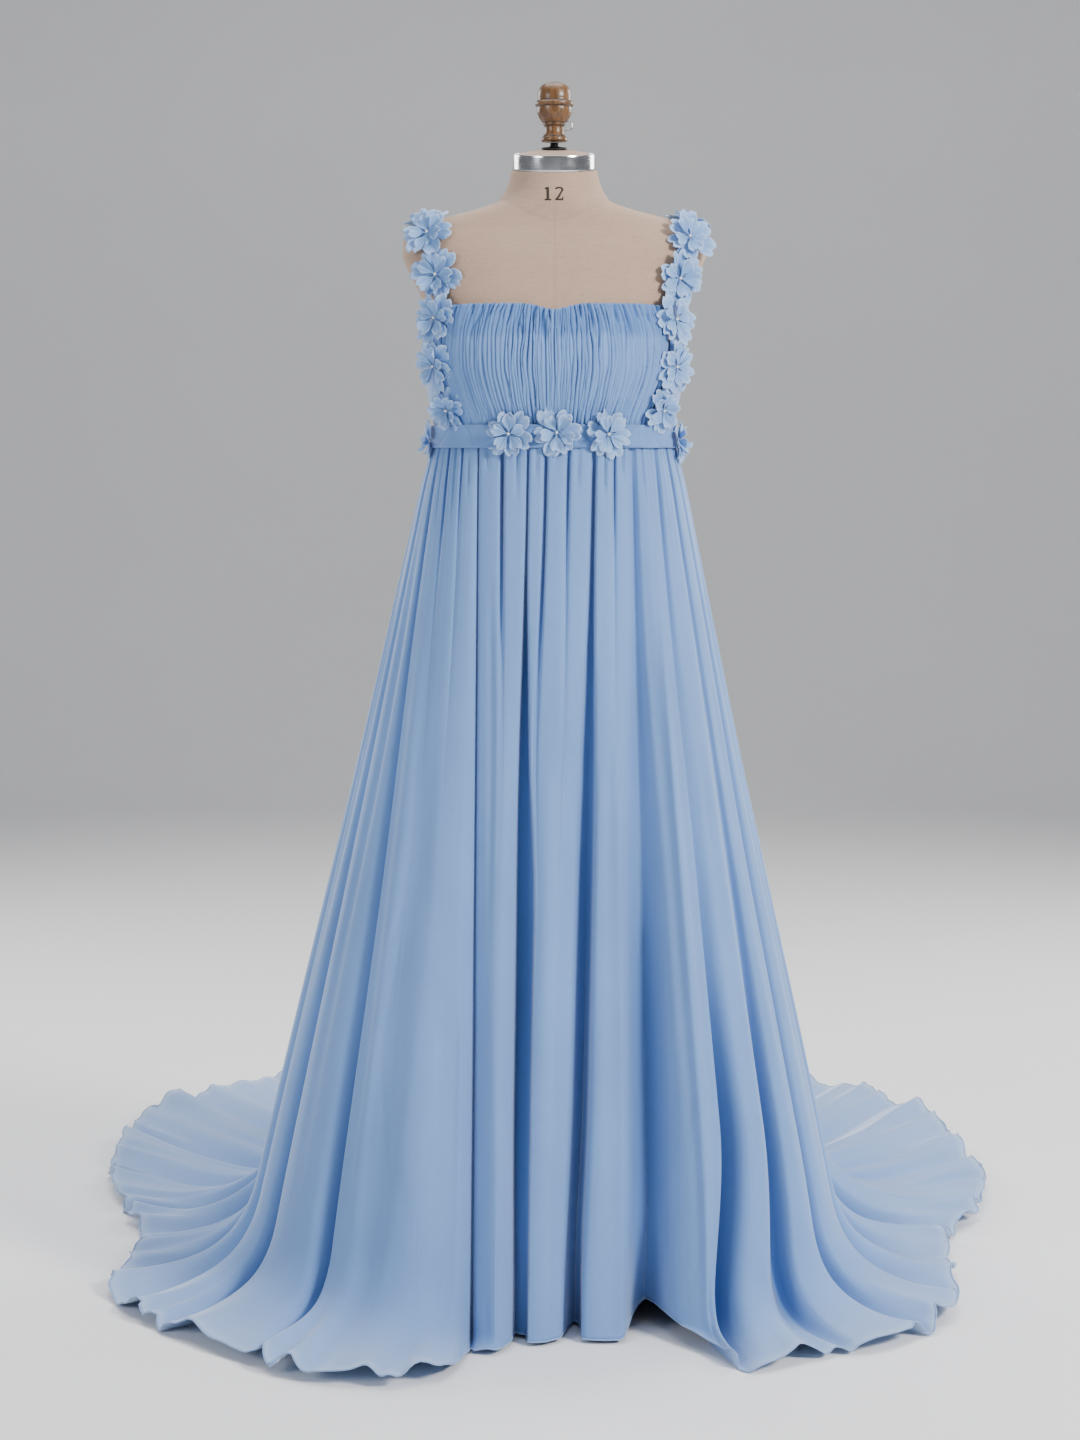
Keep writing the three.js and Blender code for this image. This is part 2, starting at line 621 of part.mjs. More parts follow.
// How far a point is outside the form and the dress's body, nearly in millimetres, along the level.
function outside(point) {
  const { x, y, z } = point;
  const shifted = y + torso.lean(z);
  const torsoAngle = THREE.MathUtils.radToDeg(Math.atan2(x, -shifted));
  const [half, front, back, square] = [torso.half(z), torso.front(z), torso.back(z), torso.square(z)];
  const fromTorso = Math.hypot(x, shifted) - sectionRadius(torsoAngle, half, front, back, square);
  const angle = THREE.MathUtils.radToDeg(Math.atan2(x, -y));
  const seam = bodice.seam(z);
  const top = lerp(FRONT_TOP_Z, BACK_TOP_Z, smooth(seam, seam + 14, Math.abs(angle)));
  const level = clamp(z, WAIST_Z, 1320);
  const radius = Math.hypot(bodicePoint(angle, level).x, bodicePoint(angle, level).y);
  const above = 0.3 * Math.max(0, z - top);
  const below = Math.max(0, WAIST_Z - z) * skirtFlare(angle);
  return Math.min(fromTorso, Math.hypot(x, y) - radius - GAP + above - below);
}

// The direction away from the form and the body at a point, and the true distance to them.
function away(point) {
  const step = 2;
  const slope = ["x", "y", "z"].map((axis) => {
    const ahead = point.clone();
    const behind = point.clone();
    ahead[axis] += step;
    behind[axis] -= step;
    return (outside(ahead) - outside(behind)) / (2 * step);
  });
  const direction = new THREE.Vector3(...slope);
  const steepness = direction.length();
  return { direction: direction.divideScalar(steepness), distance: outside(point) / steepness };
}

// The point moved to lie "lift" off the form and the body.
function seated(point, lift) {
  const moved = point.clone();
  for (let i = 0; i < 8; i += 1) {
    const { direction, distance } = away(moved);
    moved.addScaledVector(direction, lift - distance);
  }
  return moved;
}

const SEWN_LIFT = 0.4; // clear space under a strap where it is sewn to the bodice
const SHOULDER_LIFT = 1.3; // and where it lies over the form

// How far the strap's outer face is from what it lies on.
function strapOut({ y, z }) {
  const top = y < 0 ? FRONT_TOP_Z : BACK_TOP_Z;
  return TRIM_WALL + lerp(SEWN_LIFT, SHOULDER_LIFT, smooth(top - 30, top - 5, z));
}

// A strap's line as a curve that lies on the form and the body.
function strapLine(side) {
  const column = side < 0 ? "left" : "right";
  const rough = [
    ...STRAP_FRONT.map((row) => new THREE.Vector3(row[column], -80, row.z)),
    ...STRAP_SHOULDER.map((row) => new THREE.Vector3(row[column], row.y, row.z)),
    ...STRAP_BACK.map((row) => new THREE.Vector3(row[column], 70, row.z)),
  ];
  const points = rough.map((point) => {
    const lying = seated(point, strapOut(point));
    lying.x = side * lying.x;
    return lying;
  });
  return new THREE.CatmullRomCurve3(points, false, "centripetal");
}

function strapFrame(line, share) {
  const point = line.getPointAt(share);
  const along = line.getTangentAt(share);
  const out = away(point).direction;
  out.addScaledVector(along, -out.dot(along)).normalize();
  const across = new THREE.Vector3().crossVectors(along, out);
  return { point, out, across };
}

function makeStrap(name, line) {
  const rows = [];
  for (let i = 0; i <= STRAP_STEPS; i += 1) {
    const { point, across } = strapFrame(line, 1 - i / STRAP_STEPS);
    rows.push(
      [-1, 0, 1].map((j) => {
        const edge = point.clone().addScaledVector(across, (j * STRAP_WIDTH) / 2);
        return seated(edge, strapOut(edge));
      }),
    );
  }
  add(name, gridWall(rows, TRIM_WALL), chiffon);
}

// ---------------------------------------------------------------- flowers

// One flower of cupped petals: each petal has a notch and two outer corners, and stands clear of what it lies on.
function makeFlower(name, centre, out, radius, spin, clearance, index) {
  const rings = [
    { share: 0.42, height: 3 },
    { share: 1, height: 8 },
  ];
  const corners = PETAL_CORNERS.length;
  const columns = PETALS * corners;
  const side = new THREE.Vector3(0, 0, 1).cross(out).normalize();
  const up = new THREE.Vector3().crossVectors(out, side);
  const place = (r, degrees, height) => {
    const point = centre
      .clone()
      .addScaledVector(side, r * Math.cos(radians(degrees)))
      .addScaledVector(up, r * Math.sin(radians(degrees)))
      .addScaledVector(out, height + TRIM_WALL);
    const { direction, distance } = away(point);
    return distance < clearance ? point.addScaledVector(direction, clearance - distance) : point;
  };
  const points = [centre.clone().addScaledVector(out, TRIM_WALL)];
  rings.forEach(({ share, height }, ring) => {
    for (let j = 0; j < columns; j += 1) {
      const notch = j % corners === 0;
      const petal = Math.floor(j / corners);
      const size = 1 + 0.07 * jitter(petal + 7 * index, 4);
      const reach = radius * share * (ring === 1 && notch ? 0.74 : size);
      const cup = height + ring * (notch ? -2.5 : 2.5 * jitter(petal + 7 * index, 5));
      const degrees = spin + (petal * 360) / PETALS + PETAL_CORNERS[j % corners];
      points.push(place(reach, degrees, cup));
    }
  });
  const triangles = [];
  for (let j = 0; j < columns; j += 1) {
    const k = (j + 1) % columns;
    const [a, b, c, d] = [1 + j, 1 + k, 1 + columns + j, 1 + columns + k];
    triangles.push([0, a, b], [a, c, d], [a, d, b]);
  }
  const steps = outwardSteps(points, triangles);
  const inner = points.map((point, p) => point.clone().addScaledVector(steps[p], -TRIM_WALL));
  add(name, wallGeometry(points, inner, triangles), petalCloth);
}

function makeStrapFlowers(side, line) {
  STRAP_FLOWERS.forEach(({ at, radius, spin }, i) => {
    const { point, out } = strapFrame(line, at);
    const centre = seated(point, strapOut(point) + GAP);
    const facing = out.y < 0 ? out.add(new THREE.Vector3(0, -FACE_FRONT, 0)).normalize() : out;
    const name = `flower_strap_${side < 0 ? "left" : "right"}_${i + 1}`;
    const clearance = strapOut(point) + GAP + 1.5 * TRIM_WALL;
    makeFlower(name, centre, facing, radius, side * spin, clearance, i + (side > 0 ? 20 : 0));
  });
}

function makeBandFlowers() {
  BAND_FLOWERS.forEach(({ at, radius, spin, z }, i) => {
    const ahead = bandPoint(at + 1, z).sub(bandPoint(at - 1, z)).normalize();
    const out = bandPoint(at, z).setZ(0);
    out.addScaledVector(ahead, -out.dot(ahead)).normalize();
    const centre = bandPoint(at, z).addScaledVector(out, GAP);
    const clearance = BAND_OUT + GAP + 2 * TRIM_WALL;
    makeFlower(`flower_band_${i + 1}`, centre, out, radius, spin, clearance, 40 + i);
  });
}

// ---------------------------------------------------------------- skirt

const plan = tableCurves(SKIRT_PLAN, "at", ["hemX", "hemY", "drop", "bend", "lift"]);

function allFolds() {
  const folds = FRONT_FOLDS.map((fold) => ({ ...fold }));
  const first = FRONT_FOLDS.at(-1).at;
  const last = FRONT_FOLDS[0].at + 360;
  const pitch = (last - first) / (BACK_FOLDS + 1);
  for (let i = 1; i <= BACK_FOLDS; i += 1) {
    const size = 1 + BACK_FOLD_VARIETY * jitter(i, 1);
    const at = first + (i + BACK_FOLD_SPREAD * jitter(i, 2)) * pitch;
    folds.push({
      at: at > 180 ? at - 360 : at,
      wideTop: BACK_FOLD_SHAPE.wideTop,
      wideLow: BACK_FOLD_SHAPE.wideLow * size,
      deepTop: BACK_FOLD_SHAPE.deepTop,
      deepMid: BACK_FOLD_SHAPE.deepMid * size,
      deepLow: BACK_FOLD_SHAPE.deepLow * size,
    });
  }
  return folds.sort((a, b) => a.at - b.at);
}

const folds = allFolds();

function wrapped(angle) {
  return ((((angle + 180) % 360) + 360) % 360) - 180;
}

// How far the skirt moves out for each millimetre that it falls, below the waist.
function skirtFlare(angle) {
  return plan.drop(wrapped(angle)) / WAIST_Z;
}

// The smooth outer form of the skirt: straight down from the waist, round a bend and out along the floor. Returns the
// point, the direction out of the surface, and how much of it lies on the floor from 0 to 1.
function skirtForm(angle, share) {
  const at = wrapped(angle);
  const waist = bodicePoint(at, WAIST_Z);
  const hem = new THREE.Vector3(plan.hemX(at), plan.hemY(at), 0);
  const heading = new THREE.Vector3(hem.x - waist.x, hem.y - waist.y, 0);
  const reach = heading.length();
  heading.divideScalar(reach);
  const top = WAIST_Z - GAP / 2;
  const drop = Math.min(plan.drop(at), reach);
  const slope = Math.atan2(drop, top);
  const turn = Math.PI / 2 - slope;
  const tangent = Math.min(plan.bend(at) * Math.tan(turn / 2), (reach - drop) * 0.9);
  const bend = tangent / Math.tan(turn / 2);
  const straight = Math.hypot(drop, top) - tangent;
  const arc = bend * turn;
  const flat = Math.max(reach - drop - tangent, 0);
  const length = straight + arc + flat;
  const walked = share * length;
  let out = walked * Math.sin(slope);
  let z = top - walked * Math.cos(slope);
  let lean = slope;
  if (walked > straight) {
    const turned = Math.min((walked - straight) / Math.max(bend, 1e-6), turn);
    lean = slope + turned;
    out = straight * Math.sin(slope) + bend * (Math.cos(slope) - Math.cos(slope + turned));
    z = top - straight * Math.cos(slope) - bend * (Math.sin(slope + turned) - Math.sin(slope));
    out += Math.max(walked - straight - arc, 0);
  }
  const onFloor = smooth(0.35, 1, lean / (Math.PI / 2));
  const runOut = clamp((walked - straight) / Math.max(arc + flat, 1), 0, 1);
  const loft = onFloor * lerp(TRAIN_LOFT, HEM_LOFT, runOut ** 0.7);
  const lift = plan.lift(at) * smooth(0.75, 1, share) ** 2;
  const point = new THREE.Vector3(waist.x, waist.y, Math.max(z, 0) + loft + lift).addScaledVector(heading, out);
  const outward = heading.clone().multiplyScalar(Math.cos(lean)).setZ(Math.sin(lean));
  return { point, outward, heading, onFloor, length, loft, run: reach - drop };
}

const MIDDLE_SHARE = 0.45; // where a fold's middle depth is reached

function foldDepth(fold, share, form) {
  const hanging =
    share < MIDDLE_SHARE
      ? lerp(fold.deepTop, fold.deepMid, smooth(0, 1, share / MIDDLE_SHARE))
      : lerp(fold.deepMid, fold.deepLow, smooth(0, 1, (share - MIDDLE_SHARE) / (0.8 - MIDDLE_SHARE)));
  const lying = Math.min(hanging, form.loft - 1);
  return lerp(hanging, lying, form.onFloor);
}

function foldWidth(fold, share) {
  return lerp(fold.wideTop, fold.wideLow, smooth(0, 0.6, share));
}

// How far the ridge between two folds stands out at an angle, for a ridge as wide as it is there.
function ridgeCrown(at, share, form) {
  let next = folds.findIndex((fold) => fold.at > at);
  if (next < 0) next = folds.length;
  const from = next === 0 ? folds.at(-1).at - 360 : folds[next - 1].at;
  const to = next === folds.length ? folds[0].at + 360 : folds[next].at;
  const across = (at - from) / (to - from);
  const width = skirtForm(from, share).point.distanceTo(skirtForm(to, share).point);
  const height = Math.min(CROWN_SHARE * width, CROWN_LIMIT) * smooth(0.02, 0.35, share);
  return height * 4 * across * (1 - across) * (1 - 0.6 * form.onFloor);
}

// Length along the hem up to each degree, for evenly long ruffle waves.
const hemLength = (() => {
  const rows = [];
  let length = 0;
  let before = skirtForm(-180, 1).point;
  for (let at = -180; at <= 180; at += 2) {
    const here = skirtForm(at, 1).point;
    length += here.distanceTo(before);
    before = here;
    rows.push({ at, length });
  }
  return tableCurve(rows, "at", "length");
})();
const WAVE_COUNT = Math.round(hemLength(180) / HEM_WAVE_PITCH);

function skirtPoint(angle, share) {
  const form = skirtForm(angle, share);
  const at = wrapped(angle);
  let depth = 0;
  folds.forEach((fold) => {
    const away = wrapped(at - fold.at);
    depth = Math.max(depth, foldDepth(fold, share, form) * bell(away, foldWidth(fold, share)));
  });
  const crown = ridgeCrown(at, share, form);
  const point = form.point.clone().addScaledVector(form.outward, crown - depth);
  const ruffle = smooth(0.88, 1, share) * clamp(form.run / 120, 0, 1);
  const phase = 2 * Math.PI * WAVE_COUNT * (hemLength(at) / hemLength(180));
  point.z += ruffle * TRAIN_WAVE * (0.5 + 0.5 * Math.sin(phase));
  point.addScaledVector(form.heading, ruffle * TRAIN_SCALLOP * Math.cos(phase));
  point.z = Math.max(point.z, FLOOR_GAP + WALL + 0.2);
  return point;
}

// Angles of the skirt's columns at the waist: three in each valley and as many on each ridge as its hem is long.
const RIDGE_SPACING = 95;

function skirtColumns() {
  const angles = [];
  folds.forEach((fold, i) => {
    const next = folds[(i + 1) % folds.length];
    const half = (fold.wideTop + fold.wideLow) / 2;
    const nextHalf = (next.wideTop + next.wideLow) / 2;
    const from = fold.at + half;
    const to = (i + 1 < folds.length ? next.at : next.at + 360) - nextHalf;
    angles.push(fold.at - half, fold.at, from);
    const ridge = skirtForm(from, 1).point.distanceTo(skirtForm(to, 1).point);
    const count = Math.max(1, Math.round(ridge / RIDGE_SPACING));
    for (let k = 1; k <= count; k += 1) angles.push(lerp(from, to, k / (count + 1)));
  });
  return angles.sort((a, b) => a - b);
}

// The whole skirt as one surface, cut into panels at the seams.
function makeSkirt() {
  const angles = skirtColumns();
  const start = angles.findIndex((angle) => angle > -SIDE_SEAM);
  const order = [...angles.slice(start), ...angles.slice(0, start).map((angle) => angle + 360)];
  order.push(order[0] + 360);
  const between = order.slice(1).map((angle, i) => (angle + order[i]) / 2);
  const fineOrder = order.flatMap((angle, i) => (i < between.length ? [angle, between[i]] : [angle]));
  const rows = [
    ...SKIRT_ROWS.map((share) => order.map((angle) => skirtPoint(angle, share))),
    ...HEM_ROWS.map((share) => fineOrder.map((angle) => skirtPoint(angle, share))),
  ];
  const points = rows.flat();
  let next = 0;
  const numbers = rows.map((row) => row.map(() => next++));
  const triangles = gridTriangles(numbers);
  const steps = outwardSteps(points, triangles);
  numbers.forEach((row) => {
    const joined = steps[row[0]].clone().add(steps[row.at(-1)]).multiplyScalar(0.5);
    steps[row[0]].copy(joined);
    steps[row.at(-1)].copy(joined);
  });
  const inner = points.map((point, p) => {
    const moved = point.clone().addScaledVector(steps[p], -WALL);
    moved.z = Math.max(moved.z, FLOOR_GAP);
    return moved;
  });

  const seams = [0, ...[SIDE_SEAM, 180].map((at) => order.findIndex((a) => a > at)), order.length - 1];
  const names = ["skirt_front", "skirt_back_right", "skirt_back_left"];
  names.forEach((name, i) => {
    const [from, to] = [seams[i], seams[i + 1]];
    const cut = numbers.map((row) =>
      row.length === order.length ? row.slice(from, to + 1) : row.slice(2 * from, 2 * to + 1),
    );
    const [outerCut, innerCut] = [points, inner].map((all) => {
      const moved = all.slice();
      cut.forEach((row) => {
        [[0, 1], [row.length - 1, row.length - 2]].forEach(([edge, inside]) => {
          const inwards = all[row[inside]].clone().sub(all[row[edge]]).normalize();
          moved[row[edge]] = all[row[edge]].clone().addScaledVector(inwards, GAP / 2);
        });
      });
      return moved;
    });
    add(name, wallGeometry(outerCut, innerCut, gridTriangles(cut)), chiffon);
  });
}

// ---------------------------------------------------------------- assembly

makeStand();
makeTorso();
makeNeckAndFinial();
makeBodiceFront();
makeBodiceBack("bodice_back_left", -1);
makeBodiceBack("bodice_back_right", 1);
makeWaistband();
makeSkirt();
[-1, 1].forEach((side) => {
  const line = strapLine(side);
  makeStrap(side < 0 ? "strap_left" : "strap_right", line);
  makeStrapFlowers(side, line);
});
makeBandFlowers();

export default gown;
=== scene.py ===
"""A maternity gown on its dress form: ruched bust, flowered straps and waistband, gathered skirt and train.

Tables and surface functions are in millimetres, and in degrees around the pole, 0 at the front and positive
towards +X. Every mesh is made in metres.
"""

import math

import bpy
import numpy as np
from bpy.props import FloatProperty, FloatVectorProperty, IntProperty, PointerProperty
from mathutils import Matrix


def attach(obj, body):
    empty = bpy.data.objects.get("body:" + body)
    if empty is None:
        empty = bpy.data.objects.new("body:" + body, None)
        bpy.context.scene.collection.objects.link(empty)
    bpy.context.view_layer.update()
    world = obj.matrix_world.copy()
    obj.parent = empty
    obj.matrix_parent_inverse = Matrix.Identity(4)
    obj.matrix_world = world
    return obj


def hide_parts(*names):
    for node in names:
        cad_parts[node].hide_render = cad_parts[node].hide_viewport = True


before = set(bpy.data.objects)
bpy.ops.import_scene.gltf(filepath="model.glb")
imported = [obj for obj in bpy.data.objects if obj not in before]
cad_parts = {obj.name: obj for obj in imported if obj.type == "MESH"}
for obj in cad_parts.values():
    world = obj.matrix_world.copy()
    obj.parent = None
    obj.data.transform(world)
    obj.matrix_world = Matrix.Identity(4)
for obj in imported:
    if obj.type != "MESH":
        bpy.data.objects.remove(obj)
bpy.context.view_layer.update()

bl_info = {
    "name": "Maternity gown on a dress form",
    "version": (1, 0, 0),
    "blender": (4, 5, 0),
    "location": "View3D > Sidebar > Gown",
    "description": "Builds the cloth, flowers, dress form and studio of a long gathered gown",
    "category": "Object",
}

# ---------------------------------------------------------------- driving dimensions, in millimetres


def named_rows(columns, *rows):
    """A table's rows as dictionaries, with the columns' names given once."""
    return [dict(zip(columns.split(), row)) for row in rows]


MM = 0.001
WAIST_Z = 1145
BAND_LOW_Z = 1130
BAND_HIGH_Z = 1159
BAND_OUT = 3
FRONT_TOP_Z = 1316
BACK_TOP_Z = 1275
SWEETHEART_DIP = 8
SKIRT_TOP_Z = WAIST_Z - 0.15
FLOOR_GAP = 0.4
SIDE_SEAM = 92.4

BODICE = named_rows(
    "z half front back square seam",
    (1130, 160, 116, 103,  2.2,   57),
    (1160, 161, 119, 104,  2.2,   57),
    (1200, 168, 131, 106, 2.25, 59.5),
    (1235, 173, 138, 108, 2.35,   61),
    (1268, 175, 135, 109,  2.4, 61.5),
    (1300, 176, 126, 109,  2.4,   61),
    (1320, 178, 118, 109,  2.4,   60),
)

TORSO = named_rows(
    "z half front back square lean",
    ( 790, 158,  96, 118,  2.2, 0),
    ( 800, 165, 103, 124,  2.2, 0),
    ( 860, 172, 108, 124,  2.2, 0),
    ( 940, 156, 104, 108,  2.1, 0),
    (1030, 132,  96,  88,  2.1, 0),
    (1100, 141,  99,  91,  2.1, 0),
    (1150, 152, 107,  95,  2.2, 0),
    (1200, 161, 124,  99, 2.25, 0),
    (1235, 166, 131, 101, 2.35, 0),
    (1270, 167, 127, 102,  2.4, 0),
    (1300, 168, 116, 101,  2.4, 0),
    (1345, 184,  97,  97,  2.4, 0),
    (1385, 201,  80,  86,  2.4, 2),
    (1405, 200,  68,  75,  2.3, 4),
    (1420, 182,  60,  66,  2.2, 5),
    (1432, 148,  58,  62,  2.1, 5),
    (1443, 106,  59,  60,  2.0, 4),
    (1454,  76,  60,  59,  2.0, 2),
    (1470,  64,  58,  57,  2.0, 0),
    (1496,  56,  54,  54,  2.0, 0),
)
NECK_TILT = 9  # degrees that the top of the neck leans forwards
NECK_START_Z = 1454
NECK_TOP_Z = 1496

# The skirt in plan: where the cloth that leaves the waist at "at" degrees has its hem, how far out it would
# meet the floor if it hung straight, the radius of its turn onto the floor and how far its hem is lifted.
SKIRT_PLAN = named_rows(
    "at hem_x hem_y drop bend lift",
    (-180,    0, 1270, 330, 380,  0),
    (-168, -250, 1245, 330, 380,  0),
    (-157, -470, 1160, 325, 370,  0),
    (-146, -635, 1010, 315, 360,  0),
    (-134, -705,  770, 305, 350,  0),
    (-122, -690,  500, 295, 330,  0),
    (-110, -625,  270, 280, 310,  0),
    (-100, -580,   95, 268, 300,  0),
    ( -90, -598,  -50, 271, 290,  0),
    ( -84, -560, -170, 271, 280,  0),
    ( -78, -490, -265, 271, 260,  0),
    ( -72, -395, -356, 271, 240,  0),
    ( -66, -318, -430, 271, 220,  0),
    ( -57, -222, -460, 266, 200,  0),
    ( -49, -140, -446, 250, 180,  0),
    ( -45, -104, -335, 215,  60,  2),
    ( -32,  -74, -325, 200,  40,  4),
    ( -16,  -48, -290, 172,  30,  6),
    (   4,  -12, -280, 162,  30,  6),
    (  26,   34, -270, 158,  30,  6),
    (  38,   82, -268, 165,  30,  6),
    (  47,  130, -262, 175,  30, 30),
    (  54,  196, -335, 230,  60, 14),
    (  59,  240, -402, 250, 150,  0),
    (  65,  325, -355, 252, 220,  0),
    (  71,  420, -310, 251, 240,  0),
    (  78,  500, -225, 247, 260,  0),
    (  84,  535, -120, 240, 270,  0),
    (  90,  545,  -10, 237, 280,  0),
    ( 100,  555,  130, 243, 290,  0),
    ( 110,  620,  270, 268, 310,  0),
    ( 122,  662,  480, 290, 330,  0),
    ( 134,  655,  740, 305, 350,  0),
    ( 146,  590,  985, 315, 360,  0),
    ( 157,  450, 1145, 325, 370,  0),
    ( 168,  245, 1240, 330, 380,  0),
    ( 180,    0, 1270, 330, 380,  0),
)

# Valleys between the skirt's folds, front half, in degrees: where each leaves the waist, how far its line
# strays on the way down and again near the hem, and its half width to the left and right, each under the
# waist and low down. Then how steep its sides are, 1 for a soft trough and more for a flat floor between
# walls; its depth at each of FOLD_SHARES; and how far the ridge to its right stands out at the hem, 0 where
# the valley ends before.
FOLD_SHARES = (0, 0.05, 0.14, 0.28, 0.55, 0.85, 1)
FRONT_FOLDS = named_rows(
    "at sway left right steep deep crown",
    (  -86, (0.5, 0),     (1.6, 1.8),  (1.4, 1.8), 1, (4, 5, 4, 4, 6, 14, 20),     12),
    (  -79, (-0.4, 0),    (1.3, 1.2),  (1.1, 1.2), 1, (5, 5, 4, 5, 9, 24, 34),     15),
    (-71.5, (1.2, 0),     (1.4, 1.4),  (0.5, 0.6), 1, (5, 8, 9, 9, 12, 22, 46),    12),
    (  -63, (0.8, 0),     (0.9, 1.4),  (0.9, 1.4), 1, (7, 6, 1, 0, 0, 0, 0),        0),
    (-54.5, (-0.8, 0),    (0.9, 1.4),  (0.9, 1.4), 1, (7, 4, 0, 0, 0, 0, 0),        0),
    (-45.5, (0.2, 0),     (0.45, 0.5), (1.2, 1.6), 1, (7, 7, 6, 7, 8, 9, 22),      22),
    (-31.5, (0.9, 0),     (1.9, 2.0),  (2.0, 2.0), 3, (7, 12, 9, 1, 0, 0, 0),       0),
    (-16.5, (-3.6, 2.0),  (0.8, 0.9),  (2.0, 11),  5, (7, 9, 11, 21, 25, 19, 32),  26),
    (   -5, (-5.5, 0),    (2.0, 2.4),  (1.9, 1.6), 3, (7, 10, 10, 4, 0, 0, 0),      0),
    (    9, (1.2, 0),     (1.7, 3.0),  (2.2, 4.0), 1, (7, 8, 3, 1, 0, 0, 0),        0),
    ( 24.5, (-0.6, -3.5), (2.2, 6.0),  (2.6, 5.2), 3, (7, 12, 14, 17, 21, 25, 60), 28),
    ( 36.5, (1.0, 0),     (1.3, 2.4),  (1.3, 2.4), 1, (6, 5, 1, 0, 0, 0, 0),        0),
    ( 46.5, (0.3, 0),     (3.2, 7.5),  (2.8, 4.6), 2, (5, 6, 7, 9, 15, 24, 66),    11),
    ( 60.5, (1.6, -4.2),  (0.6, 0.6),  (1.6, 3.4), 1, (5, 5, 4, 4, 14, 56, 64),    12),
    ( 69.5, (0.4, -2.2),  (1.4, 3.4),  (1.0, 0.7), 1, (5, 4, 3, 4, 10, 30, 36),    15),
    ( 76.5, (-0.5, -0.6), (1.3, 2.6),  (1.0, 0.8), 1, (4, 4, 3, 5, 9, 22, 26),     12),
    (   85, (0.4, 0),     (1.6, 2.6),  (1.6, 2.8), 1, (4, 4, 5, 8, 12, 24, 28),    10),
)
BACK_FOLDS = 18
BACK_SPREAD = 0.38  # how far a back fold strays from even spacing, as a share of that spacing
BACK_FOLD = {
    "left": (1.7, 3.0),
    "right": (1.7, 3.0),
    "steep": 1,
    "deep": (5, 7, 8, 12, 24, 46, 46),
    "crown": 10,
}
TRAIN_LOFT = 40  # how high the cloth stands on the floor, where it turns out and at the hem
HEM_LOFT = 12
LAID_REACH = 110  # cloth that runs out less than this over the floor only partly lies on it

# Softer creases between the main folds: where each starts and ends round the skirt, in degrees, from which
# share of the length to which, its half width and its depth, negative where it stands out as a ridge.
SKIRT_CREASES = named_rows(
    "at to start end half depth",
    (  -83,   -82,  0.1,  0.7,  16,   3),
    (  -75, -75.5, 0.05, 0.95,  14,   4),
    (  -67,   -67,    0, 0.11,   3,   5),
    (  -67,   -68, 0.16, 0.98,  22,  -4),
    (  -61, -64.5,  0.3,  1.0,  38,   5),
    (-58.5, -58.5,    0,  0.1, 2.6,   5),
    (  -58,   -57, 0.45, 0.97,  46,  -5),
    (  -50, -50.5,    0, 0.07, 2.4,   5),
    (  -50, -50.5, 0.55, 1.02,  44,   6),
    (-40.5, -39.5,    0, 0.05, 2.4,   4),
    (  -38,   -37, 0.14, 0.62,   9,   3),
    (-22.5, -21.8,    0,  0.1, 2.8,   8),
    (  -11, -10.5,    0, 0.06, 2.2,   4),
    (    2,   2.4,    0, 0.05, 2.4,   4),
    (    2,     3,  0.3, 0.92,  22,  -3),
    (   16,  15.4,    0, 0.07, 2.6,   4),
    (   18,    13,  0.3, 1.02,  16,   3),
    (   31,  31.5,    0, 0.08, 2.6,   5),
    (   34,    37,  0.3,  1.0,  20,   4),
    ( 41.5,    41,    0, 0.06, 2.4,   4),
    (   52,  52.5,    0, 0.08,   3,   4),
    (   52,  53.5, 0.12,  0.9,  24,   3),
    (   56,  56.5,  0.2,  1.0,  24,  -5),
    ( 64.5,    64,  0.3, 0.97,  18,   4),
    ( 72.5,  73.5,  0.2, 0.95,  20,   3),
    (   81,    80, 0.05,  0.9,  16,   4),
    (   52,    40, 0.48, 0.66,   5, 1.8),
    (   56,    47, 0.68, 0.86,   6, 2.0),
    (   55,    51, 0.86,  1.0,   5, 1.6),
    (  -66,   -58, 0.64,  0.8,   6, 1.8),
    (  -60,   -52, 0.74, 0.86,   5, 1.6),
    (  -64,   -68, 0.48, 0.58,   5, 1.6),
    (   43,    36, 0.28, 0.42,   5, 1.4),
    (    8,    15, 0.62, 0.82,   5, 1.5),
    (   95,    97,  0.1, 0.98,  20,   7),
    (  104,   103, 0.05, 0.75,  18,  -6),
    (  116,   113, 0.25,  1.0,  28,   8),
    (  127,   129, 0.05,  0.9,  20,  -7),
    (  140,   137,  0.3,  1.0,  30,   8),
    (  152,   154, 0.08,  0.8,  20,   6),
    (  163,   160,  0.2,  1.0,  30,  -8),
    (  174,   176, 0.05, 0.92,  22,   7),
    ( -171,  -173,  0.1, 0.98,  26,  -7),
    ( -160,  -157,  0.3,  1.0,  30,   8),
    ( -149,  -150, 0.05, 0.85,  20,  -6),
    ( -138,  -141,  0.2,  1.0,  28,   8),
    ( -125,  -124, 0.05,  0.9,  20,   6),
    ( -114,  -117, 0.25,  1.0,  26,  -7),
    ( -103,  -102, 0.05, 0.95,  18,   6),
    (  -95,   -96,  0.1,  0.9,  18,   6),
)

# ---------------------------------------------------------------- settings


def length_setting(name, description, default):
    return FloatProperty(name=name, description=description, default=default, unit="LENGTH")


def colour_setting(name, description, default):
    return FloatVectorProperty(name=name, description=description, default=default, size=3, subtype="COLOR")


